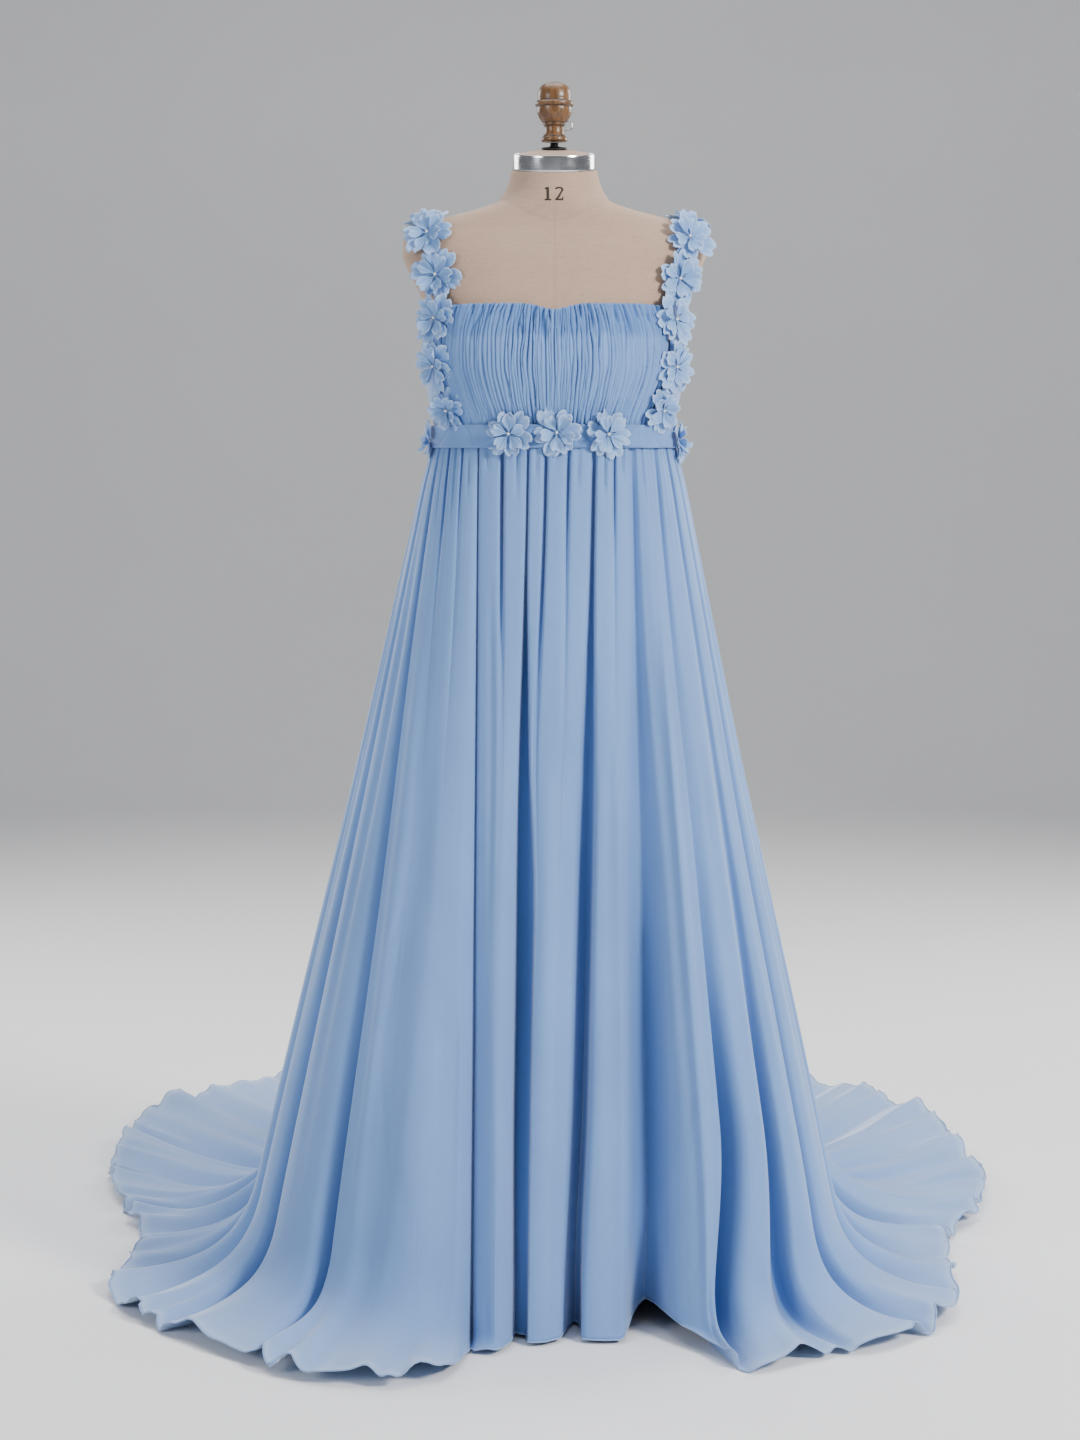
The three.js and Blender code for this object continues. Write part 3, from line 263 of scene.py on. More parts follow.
class GownSettings(bpy.types.PropertyGroup):
    """Sizes and colours of the gown and its dress form."""

    cloth_thickness: length_setting("Cloth thickness", "Chiffon and its lining", 0.0009)
    petal_thickness: length_setting("Petal thickness", "One petal of a flower", 0.0004)
    bust_pleats: IntProperty(
        name="Bust pleats", description="Fine pleats across the ruched front", default=78, min=8, max=120
    )
    pleat_depth: length_setting("Pleat depth", "Depth of a bust pleat", 0.0034)
    hem_radius: length_setting("Rolled hem", "Radius of the skirt's rolled hem", 0.0011)
    pearl_radius: length_setting("Pearl radius", "Bead in the middle of a flower", 0.0019)
    stitch_length: length_setting("Stitch length", "One stitch of a sewn edge", 0.0026)
    chiffon_colour: colour_setting("Chiffon", "Colour of the gown", (0.172, 0.318, 0.632))
    chiffon_pale: colour_setting("Thin chiffon", "Colour of one layer on a pale floor", (0.44, 0.56, 0.76))
    petal_colour: colour_setting("Petals", "Colour of the flowers", (0.225, 0.400, 0.730))
    linen_colour: colour_setting("Linen", "Colour of the dress form", (0.432, 0.300, 0.225))
    wood_colour: colour_setting("Turned wood", "Colour of the finial", (0.125, 0.055, 0.016))
    floor_colour: colour_setting("Floor", "Colour of the studio floor", (0.94, 0.94, 0.95))


def settings():
    return bpy.context.scene.gown


# ---------------------------------------------------------------- numbers and curves


def table_curve(rows, key, column):
    """A smooth curve through a table's column that never overshoots its rows, for arrays."""
    xs = np.array([row[key] for row in rows], float)
    ys = np.array([row[column] for row in rows], float)
    step = np.diff(xs)
    rise = np.diff(ys) / step
    tangent = np.zeros(len(xs))
    tangent[0], tangent[-1] = rise[0], rise[-1]
    for i in range(1, len(xs) - 1):
        if rise[i - 1] * rise[i] > 0:
            before = 2 * step[i] + step[i - 1]
            after = step[i] + 2 * step[i - 1]
            tangent[i] = (before + after) / (before / rise[i - 1] + after / rise[i])

    def curve(x):
        x = np.clip(np.asarray(x, float), xs[0], xs[-1])
        i = np.clip(np.searchsorted(xs, x, side="right") - 1, 0, len(step) - 1)
        h = step[i]
        t = (x - xs[i]) / h
        return (
            ys[i] * (2 * t**3 - 3 * t**2 + 1)
            + tangent[i] * h * (t**3 - 2 * t**2 + t)
            + ys[i + 1] * (3 * t**2 - 2 * t**3)
            + tangent[i + 1] * h * (t**3 - t**2)
        )

    return curve


def table_curves(rows, key, columns):
    return {column: table_curve(rows, key, column) for column in columns}


def smooth(low, high, x):
    t = np.clip((np.asarray(x, float) - low) / (high - low), 0, 1)
    return t * t * (3 - 2 * t)


def mix(a, b, t):
    return a + (b - a) * t


def bell(distance, half_width, steep=1):
    x = np.minimum(np.abs(distance) / half_width, 1)
    return (1 - x ** (2 * steep)) ** 2


def wrapped(angle):
    return (np.asarray(angle, float) + 180) % 360 - 180


def jitter(index, salt):
    """A repeatable number from -1 to 1 for the index of a fold."""
    x = math.sin(index * 12.9898 + salt * 78.233) * 43758.5453
    return 2 * (x - math.floor(x)) - 1


def wander(x, seed, waves=4):
    """A smooth repeatable line from -1 to 1, with bends about 1 apart."""
    rng = np.random.default_rng(seed)
    total = np.zeros_like(np.asarray(x, float))
    for _ in range(waves):
        pace, phase = rng.uniform(1.2, 4.4), rng.uniform(0, 2 * math.pi)
        total = total + np.sin(pace * x + phase)
    return total / waves


def uneven_edges(rng, narrow, wide, count):
    """The edges from 0 to 1 of cells of uneven width."""
    edges = np.concatenate([[0], np.cumsum(rng.uniform(narrow, wide, count))])
    return edges / edges[-1]


def cell_of(x, edges):
    """The cell between edges that each x lies in, and how far across it, from 0 to 1."""
    phase = np.interp(x, edges, np.arange(len(edges)))
    index = np.minimum(phase.astype(int), len(edges) - 2)
    return index, phase - index


def evenly_dense(fine, density, count):
    """Places chosen from fine ones, closer together where the density is higher."""
    total = np.concatenate([[0], np.cumsum((density[1:] + density[:-1]) / 2)])
    return np.interp(np.linspace(0, total[-1], count), total, fine)


def section_radius(curves, angle, z):
    """A section's radius at a height, from its half width, front and back depth and squareness."""
    half, front, back, square = (curves[key](z) for key in ("half", "front", "back", "square"))
    s = np.abs(np.sin(np.radians(angle)))
    c = np.cos(np.radians(angle))
    depth = np.where(c > 0, front, back)
    return ((s / half) ** square + (np.abs(c) / depth) ** square) ** (-1 / square)


def around(angle, radius, z):
    """Points at an angle, radius and height, as an array whose last axis is x, y, z."""
    angle, radius, z = np.broadcast_arrays(np.radians(angle), radius, z)
    return np.stack([radius * np.sin(angle), -radius * np.cos(angle), z], axis=-1)


bodice = table_curves(BODICE, "z", ["half", "front", "back", "square", "seam"])
torso = table_curves(TORSO, "z", ["half", "front", "back", "square", "lean"])
plan = table_curves(SKIRT_PLAN, "at", ["hem_x", "hem_y", "drop", "bend", "lift"])


def bodice_point(angle, z, out=0):
    return around(angle, section_radius(bodice, angle, z) + out, z)


def torso_point(angle, z, out=0):
    point = around(angle, section_radius(torso, angle, z) + out, z)
    point[..., 1] -= torso["lean"](z)
    neck = smooth(NECK_START_Z, NECK_TOP_Z, z)
    point[..., 2] += neck * point[..., 1] * math.tan(math.radians(NECK_TILT))
    return point


# ---------------------------------------------------------------- meshes


def placed(name, data):
    """A new object in the scene, at the origin."""
    made = bpy.data.objects.new(name, data)
    bpy.context.collection.objects.link(made)
    return made


def point_values(mesh, key, values=None):
    """A named value for each point of a mesh, 0 where none is given."""
    layer = mesh.attributes.new(key, "FLOAT", "POINT")
    if values is not None:
        layer.data.foreach_set("value", np.asarray(values, float).ravel())


def smooth_shaded(mesh):
    mesh.polygons.foreach_set("use_smooth", np.ones(len(mesh.polygons), bool))


def new_mesh(name, vertices, faces, material):
    """A mesh object from points in millimetres and faces of any number of corners."""
    mesh = bpy.data.meshes.new(name)
    mesh.from_pydata(np.asarray(vertices, float) * MM, [], [list(face) for face in faces])
    smooth_shaded(mesh)
    mesh.materials.append(material)
    mesh.update()
    return placed(name, mesh)


def fast_mesh(name, vertices, quads, material, values=None, uv=None):
    """A mesh object from arrays of points in millimetres and of quads, with values and UVs for the points."""
    mesh = bpy.data.meshes.new(name)
    count = len(quads)
    mesh.vertices.add(len(vertices))
    mesh.vertices.foreach_set("co", (np.asarray(vertices, float) * MM).ravel())
    mesh.loops.add(4 * count)
    mesh.loops.foreach_set("vertex_index", np.asarray(quads).ravel())
    mesh.polygons.add(count)
    mesh.polygons.foreach_set("loop_start", np.arange(0, 4 * count, 4))
    mesh.update(calc_edges=True)
    smooth_shaded(mesh)
    for key, data in (values or {}).items():
        point_values(mesh, key, data)
    if uv is not None:
        layer = mesh.uv_layers.new(name="cloth")
        layer.data.foreach_set("uv", np.asarray(uv, float)[np.asarray(quads).ravel()].ravel())
    mesh.materials.append(material)
    mesh.validate()
    return placed(name, mesh)


def grid_normals(points, wrap=False):
    """The direction out of a grid whose rows run down and whose columns run anticlockwise."""
    padded = np.concatenate([points[:, -1:], points, points[:, :1]], axis=1) if wrap else points
    across = np.gradient(padded, axis=1)
    if wrap:
        across = across[:, 1:-1]
    down = np.gradient(points, axis=0)
    normal = np.cross(down, across)
    return normal / np.maximum(np.linalg.norm(normal, axis=-1, keepdims=True), 1e-9)


def shell_arrays(points, thickness, wrap=False, values=None, uv=None, floor=None):
    """Points and quads of a closed shell under a grid of outer points."""
    rows, columns = points.shape[:2]
    inner = points - grid_normals(points, wrap) * thickness
    if floor is not None:
        inner[..., 2] = np.maximum(inner[..., 2], floor)
    number = np.arange(rows * columns).reshape(rows, columns)
    if wrap:
        number = np.concatenate([number, number[:, :1]], axis=1)
    n = rows * columns
    a, b, c, d = number[:-1, :-1], number[1:, :-1], number[1:, 1:], number[:-1, 1:]
    outside = np.stack([a, b, c, d], axis=-1).reshape(-1, 4)
    quads = [outside, outside[:, ::-1] + n]
    rims = [number[0, ::-1], number[-1, :]]
    if not wrap:
        rims = [rims[0], number[:, 0], rims[1], number[::-1, -1]]
    for rim in rims:
        quads.append(np.stack([rim[1:], rim[:-1], rim[:-1] + n, rim[1:] + n], axis=-1))
    vertices = np.concatenate([points.reshape(-1, 3), inner.reshape(-1, 3)])
    values = {key: np.tile(np.ravel(data), 2) for key, data in (values or {}).items()}
    uv = None if uv is None else np.tile(uv.reshape(-1, 2), (2, 1))
    return vertices, np.concatenate(quads), values, uv


def shell(name, points, thickness, material, wrap=False, values=None, uv=None, floor=None):
    vertices, quads, values, uv = shell_arrays(points, thickness, wrap, values, uv, floor)
    return fast_mesh(name, vertices, quads, material, values, uv)


def turned(name, outline, material, segments=64, place=None):
    """A turned piece from its half outline of (radius, height), closed on the axis or on itself."""
    angles = np.arange(segments) * 2 * math.pi / segments
    rings, faces, vertices = [], [], []
    for radius, z in outline:
        if radius == 0:
            rings.append([len(vertices)])
            vertices.append((0, 0, z))
        else:
            rings.append(range(len(vertices), len(vertices) + segments))
            vertices += [(radius * math.cos(a), radius * math.sin(a), z) for a in angles]
    for low, high in zip(rings, rings[1:]):
        for j in range(segments):
            k = (j + 1) % segments
            if len(low) == 1:
                faces.append((low[0], high[k], high[j]))
            elif len(high) == 1:
                faces.append((low[j], low[k], high[0]))
            else:
                faces.append((low[j], low[k], high[k], high[j]))
    vertices = np.array(vertices, float)
    if place is not None:
        vertices = place(vertices)
    made = new_mesh(name, vertices, faces, material)
    merged(made)
    return made


def rounded(outline, radius=0.8, steps=3):
    """A half outline with its corners rounded, in the plane of radius and height."""
    points = [np.array(p, float) for p in outline]
    out = [points[0]]
    for before, corner, after in zip(points, points[1:], points[2:]):
        back, ahead = before - corner, after - corner
        reach = min(radius, 0.45 * np.linalg.norm(back), 0.45 * np.linalg.norm(ahead))
        start = corner + back / np.linalg.norm(back) * reach
        end = corner + ahead / np.linalg.norm(ahead) * reach
        for i in range(steps + 1):
            t = i / steps
            out.append((1 - t) ** 2 * start + 2 * t * (1 - t) * corner + t**2 * end)
    out.append(points[-1])
    return [(float(r), float(z)) for r, z in out]


def merged(made):
    """Joins doubled points and turns every face of a closed piece outwards."""
    import bmesh

    work = bmesh.new()
    work.from_mesh(made.data)
    bmesh.ops.remove_doubles(work, verts=work.verts, dist=1e-6)
    bmesh.ops.recalc_face_normals(work, faces=work.faces)
    work.to_mesh(made.data)
    work.free()


def finish_piece(piece, *nodes, slot=None):
    """Says what a piece rides on and which CAD nodes it stands for; the slot is not used."""
    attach(piece, "root")
    if nodes:
        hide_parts(*nodes)
    return piece


# ---------------------------------------------------------------- geometry nodes


def node_group(name, inputs):
    """An empty Geometry Nodes tree with named inputs: (name, socket type, default)."""
    tree = bpy.data.node_groups.new(name, "GeometryNodeTree")
    tree.interface.new_socket("Geometry", in_out="INPUT", socket_type="NodeSocketGeometry")
    tree.interface.new_socket("Geometry", in_out="OUTPUT", socket_type="NodeSocketGeometry")
    for label, kind, default in inputs:
        socket = tree.interface.new_socket(label, in_out="INPUT", socket_type=kind)
        if default is not None:
            socket.default_value = default
    start = tree.nodes.new("NodeGroupInput")
    end = tree.nodes.new("NodeGroupOutput")
    return tree, start, end


def join(tree, *links):
    """Links sockets; each link is a node, its output, the next node and its input."""
    for source, output, target, entry in links:
        tree.links.new(source.outputs[output], target.inputs[entry])


def closing_nodes(tree, start, end, source, output):
    """Ends a tree in Realize Instances and Set Material."""
    realize = tree.nodes.new("GeometryNodeRealizeInstances")
    paint = tree.nodes.new("GeometryNodeSetMaterial")
    join(
        tree,
        (source, output, realize, "Geometry"),
        (realize, "Geometry", paint, "Geometry"),
        (start, "Material", paint, "Material"),
        (paint, "Geometry", end, "Geometry"),
    )


def evaluated_mesh(source, name):
    """A plain mesh of a source object with its modifiers applied."""
    bpy.context.view_layer.update()
    evaluated = source.evaluated_get(bpy.context.evaluated_depsgraph_get())
    mesh = bpy.data.meshes.new_from_object(evaluated)
    mesh.name = name
    smooth_shaded(mesh)
    return mesh


def made_by_nodes(name, source, tree, values):
    """Evaluates a tree on a source mesh and keeps the result as a plain mesh."""
    modifier = source.modifiers.new("nodes", "NODES")
    modifier.node_group = tree
    names = {item.name: item.identifier for item in tree.interface.items_tree if item.in_out == "INPUT"}
    for label, value in values.items():
        modifier[names[label]] = value
    mesh = evaluated_mesh(source, name)
    source.modifiers.remove(modifier)
    bpy.data.objects.remove(source)
    return placed(name, mesh)


def point_source(points, joined=False):
    """A mesh of points in millimetres, joined into a line where asked, as the source of a tree."""
    mesh = bpy.data.meshes.new("source")
    edges = [(i, i + 1) for i in range(len(points) - 1)] if joined else []
    mesh.from_pydata(np.asarray(points, float) * MM, edges, [])
    return placed("source", mesh)


def cord_tree():
    """A round cord along an edge line."""
    tree, start, end = node_group(
        "rolled cord",
        [
            ("Radius", "NodeSocketFloat", 0.001),
            ("Sides", "NodeSocketInt", 6),
            ("Material", "NodeSocketMaterial", None),
        ],
    )
    to_curve = tree.nodes.new("GeometryNodeMeshToCurve")
    circle = tree.nodes.new("GeometryNodeCurvePrimitiveCircle")
    sweep = tree.nodes.new("GeometryNodeCurveToMesh")
    sweep.inputs["Fill Caps"].default_value = True
    join(
        tree,
        (start, "Geometry", to_curve, "Mesh"),
        (start, "Radius", circle, "Radius"),
        (start, "Sides", circle, "Resolution"),
        (to_curve, "Curve", sweep, "Curve"),
        (circle, "Curve", sweep, "Profile Curve"),
    )
    closing_nodes(tree, start, end, sweep, "Mesh")
    return tree


def stitch_tree():
    """Short stitches at even steps along an edge line."""
    tree, start, end = node_group(
        "running stitch",
        [
            ("Pitch", "NodeSocketFloat", 0.0035),
            ("Length", "NodeSocketFloat", 0.0026),
            ("Radius", "NodeSocketFloat", 0.0003),
            ("Material", "NodeSocketMaterial", None),
        ],
    )
    to_curve = tree.nodes.new("GeometryNodeMeshToCurve")
    even = tree.nodes.new("GeometryNodeResampleCurve")
    even.mode = "LENGTH"
    thread = tree.nodes.new("GeometryNodeMeshCylinder")
    thread.inputs["Vertices"].default_value = 5
    to_points = tree.nodes.new("GeometryNodeCurveToPoints")
    to_points.mode = "EVALUATED"
    align = tree.nodes.new("FunctionNodeAlignRotationToVector")
    align.axis = "Z"
    place = tree.nodes.new("GeometryNodeInstanceOnPoints")
    join(
        tree,
        (start, "Geometry", to_curve, "Mesh"),
        (to_curve, "Curve", even, "Curve"),
        (start, "Pitch", even, "Length"),
        (even, "Curve", to_points, "Curve"),
        (start, "Radius", thread, "Radius"),
        (start, "Length", thread, "Depth"),
        (to_points, "Points", place, "Points"),
        (to_points, "Tangent", align, "Vector"),
        (align, "Rotation", place, "Rotation"),
        (thread, "Mesh", place, "Instance"),
    )
    closing_nodes(tree, start, end, place, "Instances")
    return tree


def bead_tree():
    """A round bead on every point."""
    tree, start, end = node_group(
        "pearls",
        [("Radius", "NodeSocketFloat", 0.0019), ("Material", "NodeSocketMaterial", None)],
    )
    ball = tree.nodes.new("GeometryNodeMeshUVSphere")
    ball.inputs["Segments"].default_value = 16
    ball.inputs["Rings"].default_value = 10
    place = tree.nodes.new("GeometryNodeInstanceOnPoints")
    join(
        tree,
        (start, "Geometry", place, "Points"),
        (start, "Radius", ball, "Radius"),
        (ball, "Mesh", place, "Instance"),
    )
    closing_nodes(tree, start, end, place, "Instances")
    return tree


# ---------------------------------------------------------------- materials


class Finish:
    """A material whose nodes are added one after another around its Principled shader."""

    def __init__(self, name):
        self.material = bpy.data.materials.new(name)
        self.material.use_nodes = True
        self.tree = self.material.node_tree
        self.shader = next(node for node in self.tree.nodes if node.type == "BSDF_PRINCIPLED")

    def add(self, kind, **values):
        node = self.tree.nodes.new(kind)
        for key, value in values.items():
            if key in node.inputs:
                node.inputs[key].default_value = value
            else:
                setattr(node, key, value)
        return node

    def link(self, source, target):
        self.tree.links.new(source, target)

    def set(self, **values):
        for key, value in values.items():
            self.shader.inputs[key.replace("_", " ")].default_value = value

    def place(self, scale=(1, 1, 1), uv=None):
        """Coordinates for a pattern, from the object or from its own UV map."""
        mapping = self.add("ShaderNodeMapping", Scale=scale)
        source = self.add("ShaderNodeUVMap", uv_map=uv) if uv else self.add("ShaderNodeTexCoord")
        self.link(source.outputs["UV" if uv else "Object"], mapping.inputs["Vector"])
        return mapping.outputs["Vector"]

    def noise(self, vector, scale, detail=3, roughness=0.55, distortion=0):
        node = self.add(
            "ShaderNodeTexNoise", Scale=scale, Detail=detail, Roughness=roughness, Distortion=distortion
        )
        self.link(vector, node.inputs["Vector"])
        return node.outputs["Fac"]

    def ramp(self, value, low, high, colours):
        node = self.add("ShaderNodeValToRGB")
        self.link(value, node.inputs["Fac"])
        for element, position, colour in zip(node.color_ramp.elements, (low, high), colours):
            element.position = position
            element.color = (*colour, 1)
        return node.outputs["Color"]

    def feed(self, value, socket):
        """Gives an input a socket to read, a number or a plain colour."""
        if isinstance(value, bpy.types.NodeSocket):
            self.link(value, socket)
        else:
            socket.default_value = value if isinstance(value, (int, float)) else (*value, 1)

    def blend(self, first, second, factor, mode="MIX"):
        """Mixes two colours; the Mix node's colour sockets are its inputs 6 and 7 and its output 2."""
        node = self.add("ShaderNodeMix", data_type="RGBA", blend_type=mode)
        for value, socket in ((factor, 0), (first, 6), (second, 7)):
            self.feed(value, node.inputs[socket])
        return node.outputs[2]

    def math(self, operation, first, second):
        node = self.add("ShaderNodeMath", operation=operation)
        self.feed(first, node.inputs[0])
        self.feed(second, node.inputs[1])
        return node.outputs["Value"]

    def attribute(self, name):
        return self.add("ShaderNodeAttribute", attribute_name=name).outputs["Fac"]

    def colour(self, socket):
        self.link(socket, self.shader.inputs["Base Color"])

    def bump(self, height, strength, distance, after=None):
        node = self.add("ShaderNodeBump", Strength=strength, Distance=distance)
        self.link(height, node.inputs["Height"])
        if after is not None:
            self.link(after, node.inputs["Normal"])
        self.link(node.outputs["Normal"], self.shader.inputs["Normal"])
        return node.outputs["Normal"]


WHITE = (1.0, 1.0, 1.0)


def darker(colour, share):
    return tuple(channel * share for channel in colour)


def chiffon_finish():
    """Two layers of fine crepe chiffon: a soft sheen, thread slubs, paler single layers and painted shade in
    folds.
    """
    colour = tuple(settings().chiffon_colour)
    made = Finish("gown chiffon")
    made.set(Roughness=0.72, Sheen_Weight=0.7, Sheen_Roughness=0.4, Specular_IOR_Level=0.25)
    made.shader.inputs["Sheen Tint"].default_value = (0.86, 0.92, 1.0, 1)
    warp = made.noise(made.place((1400, 46, 1), "cloth"), 1.0, detail=2)
    weft = made.noise(made.place((46, 1400, 1), "cloth"), 1.0, detail=2)
    threads = made.math("ADD", warp, weft)
    cloudy = made.noise(made.place((5, 5, 2.2)), 1.6, detail=4)
    tone = made.ramp(cloudy, 0.3, 0.7, (darker(colour, 0.90), darker(colour, 1.06)))
    streaks = made.noise(made.place((26, 1.4, 1), "cloth"), 1.0, detail=3)
    tone = made.blend(tone, made.ramp(streaks, 0.3, 0.7, ((0.92, 0.94, 0.97), WHITE)), 1.0, "MULTIPLY")
    weave = made.ramp(threads, 0.75, 1.25, ((0.93, 0.94, 0.96), WHITE))
    tone = made.blend(tone, weave, 1.0, "MULTIPLY")
    # Painted shade: the deeper colour stands for doubled cloth and for shade in valleys, pleats and creases.
    deep = made.blend(tone, (colour[0] * 0.36, colour[1] * 0.50, colour[2] * 0.66), made.attribute("double_and_shade"))
    pale = made.blend(deep, tuple(settings().chiffon_pale), made.attribute("thin"))
    made.colour(pale)
    first = made.bump(threads, 0.25, 0.0004)
    made.bump(made.noise(made.place((60, 60, 18)), 1.0, detail=3), 0.12, 0.004, after=first)
    return made.material


def petal_finish():
    """Crisp pinked petals with painted shade towards the middle, paler at their frayed edges."""
    colour = tuple(settings().petal_colour)
    made = Finish("petal chiffon")
    made.set(Roughness=0.75, Sheen_Weight=0.5, Sheen_Roughness=0.4, Specular_IOR_Level=0.2)
    made.shader.inputs["Sheen Tint"].default_value = (0.9, 0.95, 1.0, 1)
    edge = made.attribute("edge")
    rib = made.noise(made.place((60, 900, 1), "cloth"), 1.0, detail=2)
    tone = made.ramp(rib, 0.3, 0.7, (darker(colour, 0.88), darker(colour, 1.06)))
    # Painted shade, darker towards the flower's middle where the petals overlap.
    middle = made.math("POWER", made.math("SUBTRACT", 1.0, edge), 2.5)
    tone = made.blend(tone, darker(colour, 0.62), made.math("MULTIPLY", middle, 0.6))
    border = made.math("MULTIPLY", made.math("POWER", edge, 6.0), 0.45)
    made.colour(made.blend(tone, (0.60, 0.74, 0.93), border))
    made.bump(rib, 0.3, 0.0003)
    return made.material


def linen_finish():
    """Plain linen glued on the form: a visible weave, slubs and faint old marks."""
    colour = tuple(settings().linen_colour)
    made = Finish("form linen")
    made.set(Roughness=0.85, Sheen_Weight=0.15, Specular_IOR_Level=0.2)
    weave_x = made.noise(made.place((950, 950, 60)), 1.0, detail=2)
    weave_z = made.noise(made.place((60, 60, 950)), 1.0, detail=2)
    threads = made.math("ADD", weave_x, weave_z)
    tone = made.ramp(threads, 0.8, 1.2, (darker(colour, 0.90), darker(colour, 1.05)))
    marks = made.noise(made.place(), 22, detail=4, roughness=0.7)
    spots = made.ramp(marks, 0.66, 0.74, ((0, 0, 0), WHITE))
    tone = made.blend(tone, darker(colour, 0.74), made.math("MULTIPLY", spots, 0.35))
    cloud = made.noise(made.place(), 5, detail=3)
    tone = made.blend(tone, made.ramp(cloud, 0.3, 0.7, ((0.93, 0.92, 0.90), WHITE)), 1.0, "MULTIPLY")
    seam = made.math("MULTIPLY", made.attribute("seam"), 0.3)
    made.colour(made.blend(tone, darker(colour, 0.72), seam))
    made.bump(threads, 0.35, 0.0004)
    return made.material


def chrome_finish():
    """A polished collar, brushed round and slightly worn."""
    made = Finish("polished collar")
    made.set(Metallic=1.0, Roughness=0.16)
    brushed = made.noise(made.place((20, 20, 900)), 1.0, detail=2)
    made.colour(made.ramp(brushed, 0.3, 0.7, ((0.62, 0.62, 0.64), (0.80, 0.80, 0.82))))
    worn = made.noise(made.place(), 60, detail=3)
    made.link(made.math("MULTIPLY", worn, 0.35), made.shader.inputs["Roughness"])
    made.bump(brushed, 0.08, 0.0002)
    return made.material


def wood_finish():
    """Turned and varnished hardwood: grain along the axis, darker rings at its grooves."""
    colour = tuple(settings().wood_colour)
    made = Finish("varnished wood")
    made.set(Roughness=0.4, Coat_Weight=0.25, Coat_Roughness=0.15)
    grain = made.noise(made.place((260, 260, 26)), 1.0, detail=4, distortion=0.6)
    pale = (colour[0] * 1.5, colour[1] * 1.5, colour[2] * 1.4)
    tone = made.ramp(grain, 0.35, 0.65, (darker(colour, 0.55), pale))
    made.colour(made.blend(tone, darker(colour, 0.16), made.attribute("groove")))
    made.bump(grain, 0.12, 0.0003)
    return made.material


def mottled(name, grain, detail, high, colours, low=0.3, **values):
    """A finish whose colour follows one noise, which it gives too."""
    made = Finish(name)
    made.set(**values)
    mottle = made.noise(made.place(), grain, detail=detail)
    made.colour(made.ramp(mottle, low, high, colours))
    return made, mottle


def iron_finish():
    colours = ((0.010, 0.009, 0.009), (0.030, 0.028, 0.027))
    made, cast = mottled("black iron", 380, 3, 0.7, colours, low=0.35, Metallic=0.7, Roughness=0.45)
    made.bump(cast, 0.25, 0.0005)
    return made.material


def pearl_finish():
    shine = {"Roughness": 0.18, "Coat_Weight": 0.8, "Coat_Roughness": 0.05, "Sheen_Weight": 0.2}
    return mottled("pearl", 500, 2, 0.7, ((0.80, 0.76, 0.74), (0.93, 0.92, 0.94)), **shine)[0].material


def ink_finish():
    colours = ((0.012, 0.008, 0.006), (0.050, 0.034, 0.026))
    return mottled("printed number", 900, 3, 0.75, colours, Roughness=0.8)[0].material


def thread_finish():
    colour = tuple(settings().chiffon_colour)
    twist = (darker(colour, 0.85), darker(colour, 1.15))
    return mottled("sewing thread", 1500, 2, 0.7, twist, Roughness=0.6, Sheen_Weight=0.3)[0].material


def floor_finish():
    colour = tuple(settings().floor_colour)
    soft = (darker(colour, 0.98), colour)
    return mottled("studio floor", 1.4, 3, 0.7, soft, Roughness=0.75, Specular_IOR_Level=0.2)[0].material


MAKERS = {
    "chiffon": chiffon_finish,
    "petal": petal_finish,
    "linen": linen_finish,
    "chrome": chrome_finish,
    "wood": wood_finish,
    "iron": iron_finish,
    "pearl": pearl_finish,
    "ink": ink_finish,
    "thread": thread_finish,
    "floor": floor_finish,
}
FINISHES = {}


def finish_named(name):
    """Each finish is made once, when a piece first asks for it."""
    if name not in FINISHES:
        FINISHES[name] = MAKERS[name]()
    return FINISHES[name]


# ---------------------------------------------------------------- dress form


FORM_SEAMS = [0, 90, -90, 180]  # degrees of the form's long seams
SEAM_HALF = 2.86
SEAM_DEPTH = 0.35
LONG_SEAM_TOP_Z = 1462
SHOULDER_Z = 1380  # above this the form's surface turns in, and its points lie closer together
NECK_SEAM_Z = 1424  # at the front; it rises towards the sides by NECK_SEAM_RISE
NECK_SEAM_RISE = 32
NECK_SEAM_HALF = 3.2


def build_torso():
    angles = np.linspace(-180, 180, 181)[:-1]
    body, shoulders = (TORSO[0]["z"], SHOULDER_Z), (SHOULDER_Z, NECK_TOP_Z)
    levels = np.concatenate([np.linspace(*body, 60), np.linspace(*shoulders, 56)])
    at, z = np.meshgrid(angles, np.unique(levels)[::-1])
    points = torso_point(at, z)
    radius = np.linalg.norm(points[..., :2], axis=-1)
    seam = bell(z - NECK_SEAM_Z - NECK_SEAM_RISE * smooth(0, 75, np.abs(at)), NECK_SEAM_HALF)
    for line in FORM_SEAMS:
        away = np.abs(wrapped(at - line)) * np.radians(1) * radius
        seam = np.maximum(seam, bell(away, SEAM_HALF) * (z < LONG_SEAM_TOP_Z))
    points = points - grid_normals(points, wrap=True) * (SEAM_DEPTH * seam)[..., None]
    rows, columns = points.shape[:2]
    vertices = np.concatenate([points.reshape(-1, 3), points[0].mean(0)[None], points[-1].mean(0)[None]])
    number = np.arange(rows * columns).reshape(rows, columns)
    faces = []
    for j in range(columns):
        k = (j + 1) % columns
        faces.append((rows * columns, number[0, j], number[0, k]))
        faces.append((rows * columns + 1, number[-1, k], number[-1, j]))
        for i in range(rows - 1):
            faces.append((number[i, j], number[i + 1, j], number[i + 1, k], number[i, k]))
    made = new_mesh("form_body", vertices, faces, finish_named("linen"))
    point_values(made.data, "seam", np.concatenate([seam.ravel(), [0, 0]]))
    return finish_piece(made, "form_torso", slot="form_linen")


def on_neck(vertices):
    """Lays points from the neck's own axes onto the tilted top of the neck."""
    sin, cos = math.sin(math.radians(NECK_TILT)), math.cos(math.radians(NECK_TILT))
    x, y, z = vertices.T
    return np.stack([x, y * cos - z * sin, y * sin + z * cos + NECK_TOP_Z], axis=1)


RING_RADIUS = 55
RING_HEIGHT = 21


